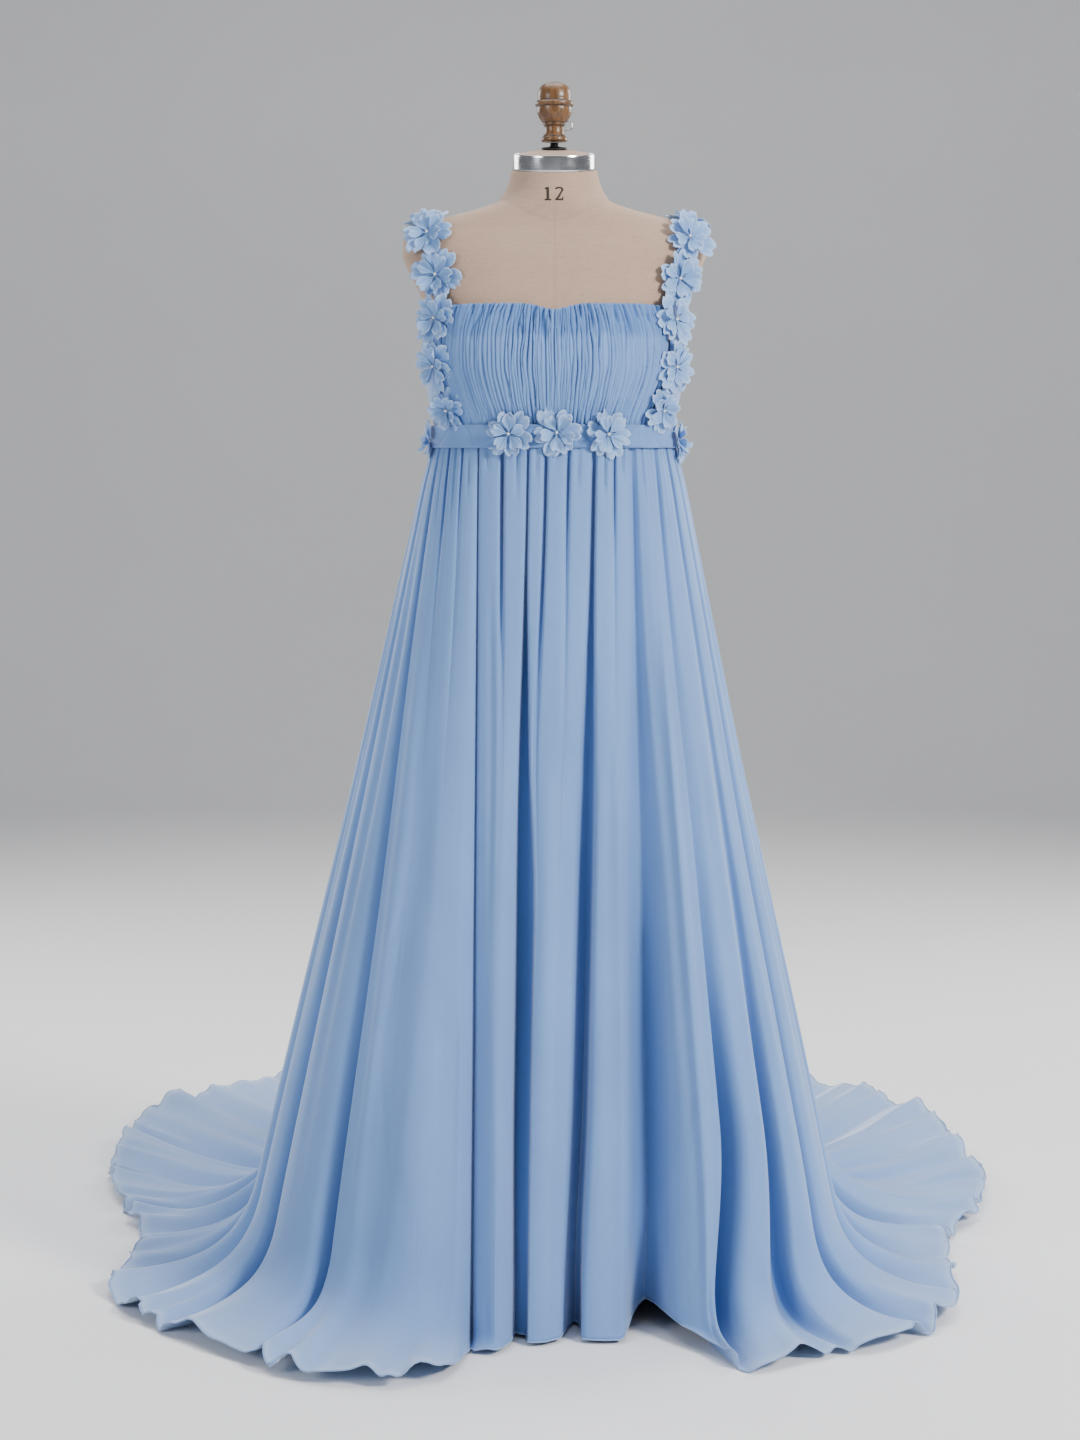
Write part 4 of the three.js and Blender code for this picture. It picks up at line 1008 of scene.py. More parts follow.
def build_neck():
    r, h = RING_RADIUS, RING_HEIGHT
    band = [(r - 2, 0.3), (r - 0.4, 0.3), (r, 2.2), (r, h - 2.2), (r - 0.4, h), (r - 2, h), (r - 2, 0.3)]
    band = rounded(band, 0.5)
    collar = turned("form_collar", band[:-1] + [band[0]], finish_named("chrome"), 96, on_neck)
    finish_piece(collar, "form_neck_ring", slot="neck_chrome")
    dome = [(0, 0.3), (r - 2.3, 0.3), (r - 2.3, h - 2), (46, h + 0.6)]
    dome += [(38, h + 2), (28, h + 3.6), (19, h + 5), (0, h + 5)]
    cap = turned("form_cap", rounded(dome, 1.2), finish_named("linen"), 72, on_neck)
    point_values(cap.data, "seam")
    finish_piece(cap, "form_neck_cap", slot="form_linen")


NUMERAL_HEIGHT = 21
NUMBER_Z = 1461
INK_LOW, INK_HIGH = 0.05, 0.22  # above the linen


def numeral_strokes():
    """Centre lines of a slab 1 and 2, x across and y up from the number's middle, each with its thickness."""
    high = NUMERAL_HEIGHT / 2
    low = -high
    one = [
        ([(-8.5, low + 0.9), (-8.5, high)], 3.6),
        ([(-13, low + 0.9), (-4, low + 0.9)], 2.0),
        ([(-12.2, high - 3.6), (-8.9, high - 0.4)], 2.2),
    ]
    turns = np.radians(np.linspace(165, -38, 14))
    bowl = [(6.3 + 4.4 * math.cos(a), high - 5.2 + 4.3 * math.sin(a)) for a in turns]
    two = [
        (bowl, 2.9),
        ([bowl[-1], (6.4, low + 5.4), (3.0, low + 1.2)], 2.7),
        ([(1.6, low + 1.1), (11.4, low + 1.1)], 2.3),
        ([(11.4, low + 0.2), (11.4, low + 4.2)], 1.9),
    ]
    return one + two


def stroke_grid(line, width):
    """Points about 1 mm apart along a line and 4 across it, so that a stroke can lie on a curved neck."""
    line = np.array(line, float)
    walked = np.concatenate([[0], np.cumsum(np.linalg.norm(np.diff(line, axis=0), axis=1))])
    steps = np.linspace(0, walked[-1], max(2, len(line), math.ceil(walked[-1])))
    line = np.stack([np.interp(steps, walked, line[:, k]) for k in range(2)], axis=1)
    ahead = np.gradient(line, axis=0)
    side = np.stack([-ahead[:, 1], ahead[:, 0]], axis=1)
    side /= np.linalg.norm(side, axis=1, keepdims=True)
    return line[:, None] + side[:, None] * width * (np.linspace(0, 1, 4) - 0.5)[None, :, None]


def build_number():
    """The size printed flat on the neck."""
    vertices, faces = [], []
    for line, width in numeral_strokes():
        start = len(vertices)
        grid = stroke_grid(line, width)
        vertices += list(grid.reshape(-1, 2))
        for i in range(len(grid) - 1):
            for k in range(3):
                a = start + 4 * i + k
                faces.append((a, a + 4, a + 5, a + 1))
    flat = np.array(vertices)
    z = NUMBER_Z + flat[:, 1]
    at = np.degrees(flat[:, 0] / np.linalg.norm(torso_point(0, z)[:, :2], axis=1))
    n = len(flat)
    edges = {(p, q) for face in faces for p, q in zip(face, face[1:] + face[:1])}
    walls = [(q, p, p + n, q + n) for p, q in sorted(edges) if (q, p) not in edges]
    every = faces + [tuple(v + n for v in face[::-1]) for face in faces] + walls
    skins = np.concatenate([torso_point(at, z, INK_HIGH), torso_point(at, z, INK_LOW)])
    made = new_mesh("form_number", skins, every, finish_named("ink"))
    merged(made)
    return finish_piece(made)


KNOB_Z = 1532.2
CAP_TOP = RING_HEIGHT + 5.3
KNOB_OUTLINE = [
    (0, 0), (16.4, 0), (17.4, 1.4), (17.2, 4.4), (15.2, 6.4), (13.6, 9.2), (12.5, 13), (12.5, 18.6),
    (13.2, 20.4), (15.2, 22.2), (15.0, 24), (17.6, 27), (20.6, 31.6), (22.6, 37), (23.2, 41.6), (23.0, 44.8),
    (24.0, 45.6), (25.4, 47.2), (25.6, 49.4), (24.4, 51.2), (22.6, 52.4), (22.0, 54), (22.4, 57), (22.2, 61),
    (21.2, 66), (18.8, 70.6), (14.6, 74.2), (8.4, 76.6), (3.4, 77.4), (0, 77.5),
]
KNOB_GROOVES = [6.4, 20.0, 24.0, 45.2, 52.8, 63.5]


def build_finial():
    stem_top = CAP_TOP + 9
    washer = [(0, CAP_TOP), (16.6, CAP_TOP), (17, CAP_TOP + 0.8), (17, CAP_TOP + 2.2), (15.8, CAP_TOP + 3)]
    washer += [(7, CAP_TOP + 3.6), (5.4, CAP_TOP + 5), (5.2, stem_top), (0, stem_top)]
    stem = turned("finial_washer", washer, finish_named("iron"), 64, on_neck)
    finish_piece(stem, "finial_stem", slot="stand_iron")

    forward = -stem_top * math.sin(math.radians(NECK_TILT))
    outline = rounded(KNOB_OUTLINE, 0.9, 2)
    foot = np.array([0, forward, KNOB_Z])
    knob = turned("finial_turning", outline, finish_named("wood"), 72, lambda points: points + foot)
    heights = np.array([vertex.co.z for vertex in knob.data.vertices]) / MM - KNOB_Z
    groove = np.max([np.exp(-(((heights - level) / 0.9) ** 2)) for level in KNOB_GROOVES], axis=0)
    point_values(knob.data, "groove", groove)
    finish_piece(knob, "finial_knob", slot="finial_wood")

    loop = [(12.9, 15.2), (15, 14.4), (17.6, 14), (20, 14), (22.2, 15.4), (23.3, 18), (23.4, 21)]
    loop += [(22.2, 24.4), (20.4, 25.8), (18.6, 26.2), (17.4, 25.6), (17.2, 24.4)]
    points = catmull(np.array([(x, forward - 4, KNOB_Z + z) for x, z in loop], float), 6)
    wire = {"Radius": 0.0008, "Sides": 10, "Material": finish_named("chrome")}
    hook = made_by_nodes("finial_hook", point_source(points, joined=True), cord_tree(), wire)
    finish_piece(hook, "finial_wire_hook", slot="neck_chrome")


def catmull(points, steps):
    """A smooth line through points, with a number of steps between each two."""
    ends = np.concatenate([[2 * points[0] - points[1]], points, [2 * points[-1] - points[-2]]])
    line = []
    for a, b, c, d in zip(ends, ends[1:], ends[2:], ends[3:]):
        for i in range(steps):
            t = i / steps
            bent = (2 * a - 5 * b + 4 * c - d) * t * t + (3 * b - a - 3 * c + d) * t**3
            line.append(0.5 * (2 * b + (c - a) * t + bent))
    line.append(points[-1])
    return np.array(line)


POLE_ENDS = (64.3, 789.7)


def build_stand():
    foot = [(0, 0), (173, 0), (175, 1.2), (175, 4.2), (172, 7), (166, 8), (110, 9.6), (62, 12), (44, 15)]
    foot += [(32, 20), (27, 30), (24.6, 46), (24, 60), (23, 64), (0, 64)]
    made = turned("stand_foot", rounded(foot, 1.2, 2), finish_named("iron"), 96)
    finish_piece(made, "stand_base", slot="stand_iron")
    low, high = POLE_ENDS
    pole = [(0, low), (12.6, low), (13, low + 0.8), (13, high - 0.8), (12.6, high), (0, high)]
    finish_piece(turned("stand_tube", pole, finish_named("iron"), 48), "stand_pole", slot="stand_iron")


# ---------------------------------------------------------------- bodice


TUCK_ZONE = 42  # height of the turned-down top of the bust, where the cloth is double
TUCK_DEPTH = 4.2
WAIST_TUCK_DEPTH = 1.5
TUCK_SHARE = 0.5  # tucks for each pleat
DEEPEST_PLEAT = 5.2


def front_top(angle):
    dip = SWEETHEART_DIP * np.exp(-((angle / 11) ** 2))
    return FRONT_TOP_Z - 1 - dip - 1.5 * smooth(46, 60, np.abs(angle))


def pleat_lines(count, levels, seed, stray):
    """Where the pleats' edges lie, from -1 to 1 across, at each level: uneven in width, and wandering."""
    edges = 2 * uneven_edges(np.random.default_rng(seed), 0.3, 1.9, count) - 1
    lines = np.tile(edges, (len(levels), 1))
    for i in range(1, count):
        lines[:, i] += stray * 2 / count * wander(levels / 38, seed + i)
    return np.sort(lines, axis=1)


def bust_relief(columns, levels, count, depth):
    """Fine pleats down the bust, with deeper tucks under its top edge and above the waistband."""
    lines = pleat_lines(count, levels, 11, 0.6)
    tucks = pleat_lines(int(count * TUCK_SHARE), levels, 211, 1.3)
    rng = np.random.default_rng(5)
    strength = rng.uniform(0.35, 1.4, count)
    lean = rng.uniform(0.35, 0.8, count)
    tuck_depth = rng.uniform(0.1, 1.35, tucks.shape[1] - 1) ** 1.3
    tuck_length = rng.uniform(18, 58, tucks.shape[1] - 1)
    relief = np.zeros((len(levels), len(columns)))
    for i, level in enumerate(levels):
        down = FRONT_TOP_Z - level
        pleat, part = cell_of(columns, lines[i])
        width = np.diff(lines[i])[pleat] * count / 2
        crest = np.sin(math.pi * part ** lean[pleat]) ** 0.7
        fade = 0.72 + 0.35 * wander(level / 45 + 3.1 * pleat, 71, 3)
        relief[i] = depth * np.clip(width, 0.5, 1.5) * strength[pleat] * fade * (crest - 1)
        tuck, part = cell_of(columns, tucks[i])
        hollow = bell(part - 0.5, 0.3)
        high = hollow * smooth(tuck_length[tuck], tuck_length[tuck] * 0.5, down) * smooth(-6, 4, down)
        low = hollow * smooth(0.5, 1.3, 1.3 * tuck_depth[::-1][tuck]) * smooth(46, 4, level - BAND_HIGH_Z)
        relief[i] -= TUCK_DEPTH * tuck_depth[tuck] * high + WAIST_TUCK_DEPTH * low
    return np.maximum(relief, -DEEPEST_PLEAT)


def build_bodice_front():
    data = settings()
    columns = np.linspace(-1, 1, 681)
    drops = np.unique(np.concatenate([np.linspace(0, 0.12, 7), np.linspace(0.12, 1, 31)]))
    top = front_top(columns[None, :] * bodice["seam"](FRONT_TOP_Z))
    z = mix(top, WAIST_Z + 0.3, drops[:, None])
    relief = bust_relief(columns, mix(FRONT_TOP_Z, WAIST_Z, drops), data.bust_pleats, data.pleat_depth / MM)
    ragged = FRONT_TOP_Z - z + 3.4 * wander(columns * 14, 33)[None, :]
    double_and_shade = smooth(TUCK_ZONE + 3.2, TUCK_ZONE - 3.2, ragged)
    relief += 0.35 * double_and_shade
    at = columns[None, :] * (bodice["seam"](z) - 0.02)
    points = bodice_point(at, z, relief + np.sin(math.pi * drops)[:, None])
    points[0, :, 2] += 0.7 * wander(columns * 45, 91)
    patchy = 1 + 0.5 * wander(columns * 12, 34)[None, :]
    # Painted shade in the pleats' and tucks' hollows, over a deeper tone on the doubled top of the bust that
    # is partly painted shade too.
    shade = np.clip(0.05 + 0.44 * double_and_shade * patchy + 0.8 * smooth(-1.6, -4.4, relief), 0, 1)
    uv = np.stack(np.broadcast_arrays(at * 0.0026, z * MM), axis=-1)
    values = {"double_and_shade": shade, "thin": np.zeros_like(shade)}
    thickness = data.cloth_thickness / MM
    made = shell("bust_front", points, thickness, finish_named("chiffon"), values=values, uv=uv)
    finish_piece(made, "bodice_front", slot="gown_chiffon")


def build_bodice_backs():
    share = np.linspace(0, 1, 111)
    z = np.linspace(BACK_TOP_Z, WAIST_Z + 0.3, 34)[:, None]
    at = mix(bodice["seam"](z) + 0.02, 180 - 0.02, share[None, :])
    pull = 0.9 * bell(share - 0.32, 0.1)[None, :] * np.sin(math.pi * (z - WAIST_Z) / (BACK_TOP_Z - WAIST_Z))
    edge = smooth(BACK_TOP_Z - 9.4, BACK_TOP_Z - 8.2, z)
    facing = 0.3 * smooth(1 - 0.055, 1 - 0.048, share)[None, :]
    uv = np.stack(np.broadcast_arrays(share[None, :] * 0.34, z * MM), axis=-1)
    for side, hand in ((-1, "left"), (1, "right")):
        soft = 0.4 * wander(share * 5, 17 + side)[None, :] * wander(z / 40, 19 + side)
        points = bodice_point(at, z, soft - pull + 0.35 * edge + facing)
        if side < 0:
            points = points[:, ::-1] * np.array([-1, 1, 1])
        thin = np.full(points.shape[:2], 0.12)
        values = {"double_and_shade": 0.2 * edge * np.ones_like(thin), "thin": thin}
        thickness = settings().cloth_thickness / MM
        made = shell("bust_back_" + hand, points, thickness, finish_named("chiffon"), values=values, uv=uv)
        finish_piece(made, "bodice_back_" + hand, slot="gown_chiffon")


def band_point(angle, z, out=0):
    """The band follows the bodice above the waist seam and the skirt's flare under it."""
    flare = np.maximum(0, WAIST_Z - z) * plan["drop"](wrapped(angle)) / WAIST_Z
    point = bodice_point(angle, np.maximum(z, WAIST_Z), BAND_OUT + 1.15 * flare + out)
    point[..., 2] = np.broadcast_to(z, point.shape[:-1])
    return point


BAND_STEP_AT = 49  # degrees where the band's end laps over it

# Slanting creases in the band: where each lies and how far it slants over the band's width, in degrees, its
# depth, and its half width in degrees.
BAND_CREASES = named_rows(
    "at slant depth half",
    ( -66,  14, 1.0, 2.0),
    ( -49,  -9, 0.8, 1.6),
    ( -38,  16, 1.0, 2.2),
    ( -14,  10, 0.8, 1.8),
    ( -10,  18, 0.7, 1.4),
    (  13, -12, 0.8, 1.6),
    (  20, -16, 1.0, 2.0),
    (  43,  12, 0.9, 1.8),
    (  58, -15, 1.1, 2.2),
    (  70,  10, 0.9, 2.0),
    (  98,  12, 0.8, 2.0),
    ( 131, -12, 0.9, 2.4),
    ( 170,   9, 0.7, 2.0),
    (-140,  12, 0.9, 2.4),
    ( -99, -12, 0.8, 2.0),
)


def build_waistband():
    at = np.linspace(-179.9, 179.9, 541)[None, :]
    z = np.linspace(BAND_HIGH_Z, BAND_LOW_Z, 17)[:, None]
    across = (z - BAND_LOW_Z) / (BAND_HIGH_Z - BAND_LOW_Z) - 0.5
    relief = np.zeros(np.broadcast(at, z).shape)
    for crease in BAND_CREASES:
        away = at - crease["at"] - crease["slant"] * across * 0.55
        relief -= crease["depth"] * bell(away, crease["half"]) * (1 - (2 * across) ** 4)
    beyond = at - BAND_STEP_AT
    lap = smooth(-0.35, 0.35, beyond) * smooth(26, 16, beyond)
    relief = relief + 1.1 * lap + 0.5 * np.sin(math.pi * (across + 0.5)) + 0.35 * wander(at / 9, 44)
    lip = 0.3 * (np.abs(across) > 0.44)
    points = band_point(at, z + 1.2 * wander(at / 14, 55) * across, relief + lip)
    # Painted shade in the band's creases, over a deeper tone for the whole band.
    shade = 0.16 + 0.12 * (relief < -0.3)
    values = {"double_and_shade": shade, "thin": np.zeros_like(shade)}
    uv = np.stack(np.broadcast_arrays(z * MM, at * 0.0024), axis=-1)
    thickness = settings().cloth_thickness / MM
    made = shell("waist_band", points, thickness, finish_named("chiffon"), values=values, uv=uv)
    finish_piece(made, "waistband", slot="gown_chiffon")


# ---------------------------------------------------------------- straps


def read_points(mesh, key):
    values = np.zeros(3 * len(mesh.vertices))
    mesh.vertices.foreach_get(key, values)
    return values.reshape(-1, 3)


def build_straps():
    """The straps keep their solid's path, with soft edges and a slightly uneven surface."""
    for name, node in (("strap_cloth_left", "strap_left"), ("strap_cloth_right", "strap_right")):
        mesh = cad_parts[node].data.copy()
        mesh.materials.clear()
        mesh.materials.append(finish_named("chiffon"))
        made = placed(name, mesh)
        merged(made)
        soft = made.modifiers.new("soft", "SUBSURF")
        soft.levels = soft.render_levels = 2
        mesh = evaluated_mesh(made, name)
        made.modifiers.clear()
        made.data = mesh
        co = read_points(mesh, "co")
        pull = 0.5 * wander(co[:, 2] / 0.016, 61) + 0.3 * wander(co[:, 0] / 0.004 + co[:, 2] / 0.03, 62)
        co += read_points(mesh, "normal") * (pull * MM)[:, None]
        mesh.vertices.foreach_set("co", co.ravel())
        layer = mesh.uv_layers.get("cloth") or mesh.uv_layers.new(name="cloth")
        index = np.zeros(len(mesh.loops), int)
        mesh.loops.foreach_get("vertex_index", index)
        layer.data.foreach_set("uv", np.stack([co[index, 0] + co[index, 1], co[index, 2]], axis=1).ravel())
        point_values(mesh, "double_and_shade")
        point_values(mesh, "thin")
        finish_piece(made, node, slot="gown_chiffon")


# ---------------------------------------------------------------- flowers

# The two layers of a flower: petals, reach as a share of the flower's radius, how wide a petal is of its
# equal share of the circle, how high it starts, how far its tip stands up and how far its edge waves.
FLOWER_LAYERS = named_rows(
    "petals reach wide base cup ruffle",
    (6,  1.2, 0.98, 1.0, 3.5, 1.8),
    (5, 0.86, 0.86, 3.0, 7.5, 2.2),
)
PETAL_ROWS = 9
PETAL_COLUMNS = 19
PINKING = 1.0  # depth of the zigzag cut along a petal's edge
STRAP_FLOWER_SHARE = 1.1  # strap flowers are opened wider than their solids


def petal_grid(reach, half_angle, base, cup, ruffle, rng):
    """One petal in the flower's own axes: x and y across the flower, z out of it."""
    s = np.linspace(0, 1, PETAL_ROWS)[:, None] ** 0.85
    t = np.linspace(-1, 1, PETAL_COLUMNS)[None, :]
    notch = rng.uniform(0.10, 0.20) * np.exp(-(((t - rng.uniform(-0.15, 0.15)) / 0.17) ** 2))
    outline = 1 - 0.34 * np.abs(t) ** 2.6 - notch
    pinked = PINKING * (np.arange(PETAL_COLUMNS)[None, :] % 2) * s**4
    r = reach * (0.05 + 0.95 * s * outline) - pinked
    angle = half_angle * (0.34 + 0.66 * smooth(0, 0.7, s)) * t
    wave = np.sin(t * rng.uniform(2.5, 5.0) + rng.uniform(0, 6.3)) * s**2
    fine = 0.35 * np.sin(t * rng.uniform(9, 13) + rng.uniform(0, 6.3)) * s**3
    turn = rng.uniform(-3.2, 3.2) * t * s**2
    overlap = 1.1 * t * smooth(0, 0.4, s)
    crease = 1.1 * np.exp(-((t / 0.13) ** 2)) * smooth(0.05, 0.4, s) * smooth(1.1, 0.6, s)
    z = base + cup * s**1.7 * rng.uniform(0.1, 1.7) + ruffle * (wave + fine) + turn + overlap - crease
    return r, angle, z, s, t


def flower_axes(node):
    """The heart of a flower's solid, its side, up and outward directions, and its radius."""
    points = np.unique(np.round(read_points(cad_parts[node].data, "co") / MM, 3), axis=0)
    middle = points.mean(0)
    out = np.linalg.svd(points - middle, full_matrices=False)[2][2]
    lies_flat = abs(out[2]) >= 0.8
    faces_in = out[2] < 0 if lies_flat else out[:2] @ middle[:2] < 0
    if faces_in:
        out = -out
    side = np.cross([0, 0, 1], out)
    side /= np.linalg.norm(side)
    up = np.cross(out, side)
    level = (points - middle) @ out
    spread = (points - middle) - level[:, None] * out
    radius = np.percentile(np.linalg.norm(spread, axis=1), 80)
    return middle + out * level.min(), side, up, out, radius


FLOWER_ROWS = ("strap_left", "strap_right", "band")
FLOWER_NODES = [f"flower_{row}_{number}" for row in FLOWER_ROWS for number in range(1, 10)]
PEARL_UP = 5.2  # from a flower's foot to its pearl


def build_flower(node, number):
    """One flower of two layers of petals; gives the place of its pearl."""
    rng = np.random.default_rng(100 + number)
    heart, side, up, out, radius = flower_axes(node)
    spin = rng.uniform(0, 360)
    if "strap" in node:
        radius *= STRAP_FLOWER_SHARE
    vertices, quads, edge, uvs, start = [], [], [], [], 0
    for layer in FLOWER_LAYERS:
        pitch = 360 / layer["petals"]
        for petal in range(layer["petals"]):
            reach = radius * layer["reach"] * rng.uniform(0.86, 1.08)
            half = pitch / 2 * layer["wide"]
            r, angle, z, s, t = petal_grid(reach, half, layer["base"], layer["cup"], layer["ruffle"], rng)
            turn = np.radians(angle + spin + petal * pitch + rng.uniform(-7, 7))
            flat = np.stack(np.broadcast_arrays(r * np.cos(turn), r * np.sin(turn), z), axis=-1)
            points = heart + flat[..., :1] * side + flat[..., 1:2] * up + flat[..., 2:] * out
            rim = np.broadcast_to(np.maximum(s, 0.2 + 0.8 * np.abs(t) ** 5 * s), r.shape)
            uv = np.stack(np.broadcast_arrays(s * reach * MM, t * reach * 0.6 * MM), axis=-1)
            thickness = settings().petal_thickness / MM
            part = shell_arrays(points[::-1], thickness, values={"edge": rim[::-1]}, uv=uv[::-1])
            vertices.append(part[0])
            quads.append(part[1] + start)
            edge.append(part[2]["edge"])
            uvs.append(part[3])
            start += len(part[0])
        spin += pitch / 2
    vertices, quads, edge, uvs = (np.concatenate(parts) for parts in (vertices, quads, edge, uvs))
    name = node.replace("flower_", "bloom_")
    made = fast_mesh(name, vertices, quads, finish_named("petal"), {"edge": edge}, uvs)
    finish_piece(made, node, slot="petal_chiffon")
    return heart + out * PEARL_UP


def build_flowers():
    hearts = [build_flower(node, number) for number, node in enumerate(FLOWER_NODES)]
    beads = {"Radius": settings().pearl_radius, "Material": finish_named("pearl")}
    finish_piece(made_by_nodes("flower_pearls", point_source(hearts), bead_tree(), beads))


# ---------------------------------------------------------------- skirt


SHORT_FOLD = (1.2, 1.3, 1, 0.4, 0, 0, 0)  # what a short fold keeps of its depth, at each of FOLD_SHARES


def back_fold(number):
    """A fold of the back, like its neighbours but not the same; about a third die out half way down."""
    first, last = FRONT_FOLDS[-1]["at"], FRONT_FOLDS[0]["at"] + 360
    pitch = (last - first) / (BACK_FOLDS + 1)
    size = 1 + 0.25 * jitter(number, 1)
    short = jitter(number, 12) > 0.25
    kept = SHORT_FOLD if short else [1] * len(SHORT_FOLD)
    fold = {
        "at": float(wrapped(first + (number + BACK_SPREAD * jitter(number, 2)) * pitch)),
        "sway": (0.8 * jitter(number, 6), 1.6 * jitter(number, 10)),
        "lies": 0.62 + 0.4 * jitter(number, 9),
        "steep": BACK_FOLD["steep"],
        "deep": tuple(deep * size * share for deep, share in zip(BACK_FOLD["deep"], kept)),
        "crown": 0 if short else BACK_FOLD["crown"],
    }
    for side, salt in (("left", 7), ("right", 8)):
        top, low = BACK_FOLD[side]
        fold[side] = (top, low * size * (1 + 0.35 * jitter(number, salt)))
    return fold


def all_folds():
    """Every fold in order round the skirt; "lies" is what a fold keeps of its depth on the floor."""
    folds = [{"lies": 1, **fold} for fold in FRONT_FOLDS] + [back_fold(i) for i in range(1, BACK_FOLDS + 1)]
    return sorted(folds, key=lambda fold: fold["at"])


FOLDS = all_folds()
LASTING_FOLDS = [fold for fold in FOLDS if fold["crown"]]


def skirt_form(at, share):
    """The skirt's smooth outer form: straight down from the waist, round a bend and out on the floor.

    "laid" is 0 where the hem only hangs, and "outward" is the way that the folds stand out.
    """
    at, share = np.broadcast_arrays(wrapped(at), share)
    waist = bodice_point(at, np.full(at.shape, float(WAIST_Z)))
    ahead = np.stack([plan["hem_x"](at) - waist[..., 0], plan["hem_y"](at) - waist[..., 1]], axis=-1)
    reach = np.linalg.norm(ahead, axis=-1)
    ahead = ahead / reach[..., None]
    drop = np.minimum(plan["drop"](at), reach)
    slope = np.arctan2(drop, SKIRT_TOP_Z)
    turn = math.pi / 2 - slope
    tangent = np.minimum(plan["bend"](at) * np.tan(turn / 2), (reach - drop) * 0.9)
    bend = tangent / np.tan(turn / 2)
    straight = np.hypot(drop, SKIRT_TOP_Z) - tangent
    arc = bend * turn
    flat = np.maximum(reach - drop - tangent, 0)
    length = straight + arc + flat
    walked = share * length
    turned_by = np.clip((walked - straight) / np.maximum(bend, 1e-6), 0, turn)
    before = np.minimum(walked, straight)
    lean = slope + turned_by
    out = before * np.sin(slope) + bend * (np.cos(slope) - np.cos(lean))
    out = (out + np.maximum(walked - straight - arc, 0))[..., None]
    z = SKIRT_TOP_Z - before * np.cos(slope) - bend * (np.sin(lean) - np.sin(slope))
    laid = np.clip((reach - drop) / LAID_REACH, 0, 1)
    lean_out = mix(slope, lean, laid)
    on_floor = smooth(0.35, 1, lean / (math.pi / 2)) * laid
    run_out = np.clip((walked - straight) / np.maximum(arc + flat, 1), 0, 1)
    loft = on_floor * mix(TRAIN_LOFT, HEM_LOFT, run_out**0.7)
    lift = plan["lift"](at) * smooth(0.75, 1, share) ** 2
    level = (np.maximum(z, 0) + loft + lift)[..., None]
    sideways, upwards = np.cos(lean_out)[..., None], np.sin(lean_out)[..., None]
    return {
        "point": np.concatenate([waist[..., :2] + ahead * out, level], axis=-1),
        "outward": np.concatenate([ahead * sideways, upwards], axis=-1),
        "ahead": ahead,
        "on_floor": on_floor,
        "length": length,
        "loft": loft,
        "run": reach - drop,
        "hangs": (1 - laid) * smooth(0.8, 1, share),
    }


def fold_depth(fold, share, form):
    hanging = table_curve(named_rows("share deep", *zip(FOLD_SHARES, fold["deep"])), "share", "deep")(share)
    lying = np.minimum(hanging * fold["lies"], form["loft"] - 1)
    return mix(hanging, lying, form["on_floor"])


def fold_profile(fold, away, share):
    """1 in the middle of a valley and 0 outside it; a narrow side makes a sharp step."""
    wide = smooth(0.12, 0.5, share)
    steep = mix(1, fold["steep"], smooth(0.08, 0.4, share))
    left, right = (bell(away, mix(*fold[side], wide), steep) for side in ("left", "right"))
    return np.where(away < 0, left, right)


def strayed(at, share):
    """The angle that cloth from an angle at the waist has lower down, so that columns follow the valleys."""
    stray = []
    for fold in FOLDS:
        lasting = 1 if fold["crown"] else smooth(0.55, 0.3, share)
        first, last = fold["sway"]
        line = first * smooth(0.05, 0.5, share) * lasting + last * smooth(0.72, 0.98, share)
        unsteady = wander(share * 3, int(abs(fold["at"]) * 10))
        stray.append(line + 0.25 * smooth(0.05, 0.3, share) * unsteady)
    places = [-180, *(fold["at"] for fold in FOLDS), 180]
    still = np.zeros_like(stray[0])
    lines = np.concatenate([still, *stray, still], axis=1)
    return at + np.stack([np.interp(wrapped(at)[0], places, line) for line in lines])


def across_ridges(at, folds):
    """The number of the valley to the left of each angle, and how far across the ridge beyond it that is."""
    ring = np.array([folds[-1]["at"] - 360] + [fold["at"] for fold in folds] + [folds[0]["at"] + 360])
    index = np.clip(np.searchsorted(ring, wrapped(at), side="right") - 1, 0, len(ring) - 2)
    return index, (wrapped(at) - ring[index]) / (ring[index + 1] - ring[index])


def ridge_crown(at, share, on_floor):
    """How far the cloth between each two valleys stands out, under the waist and lower down."""
    _, across = across_ridges(at, FOLDS)
    top = WAIST_CROWN * (1 - (2 * across - 1) ** 4)
    index, across = across_ridges(at, LASTING_FOLDS)
    tall = np.array([LASTING_FOLDS[-1]["crown"]] + [fold["crown"] for fold in LASTING_FOLDS])[index]
    low = tall * (4 * across * (1 - across)) ** mix(1, 0.65, smooth(0.5, 0.9, share))
    crown = smooth(0.01, 0.06, share) * smooth(0.4, 0.14, share) * top + smooth(0.12, 0.8, share) * low
    return crown * (1 - 0.6 * on_floor)


HEM_AT = np.arange(-180, 181, 1.0)
HEM_LENGTH = np.concatenate(
    [[0], np.cumsum(np.linalg.norm(np.diff(skirt_form(HEM_AT, 1.0)["point"], axis=0), axis=1))]
)
HEM_WAVE_PITCH = 90
WAVE_COUNT = round(HEM_LENGTH[-1] / HEM_WAVE_PITCH)
TRAIN_WAVE = 17  # height of the hem's waves on the floor
TRAIN_SCALLOP = 17.1  # how far the waves reach in and out
FRILL_HEIGHT = 3.8
FRILL_REACH = 2.0
FRILL_PACE = 2.3  # frills for each wave
GATHERS = 170
GATHER_DEPTH = 2.3
DRAPES = 150
WAIST_CROWN = 2.4
DEEPEST_FOLD = 90


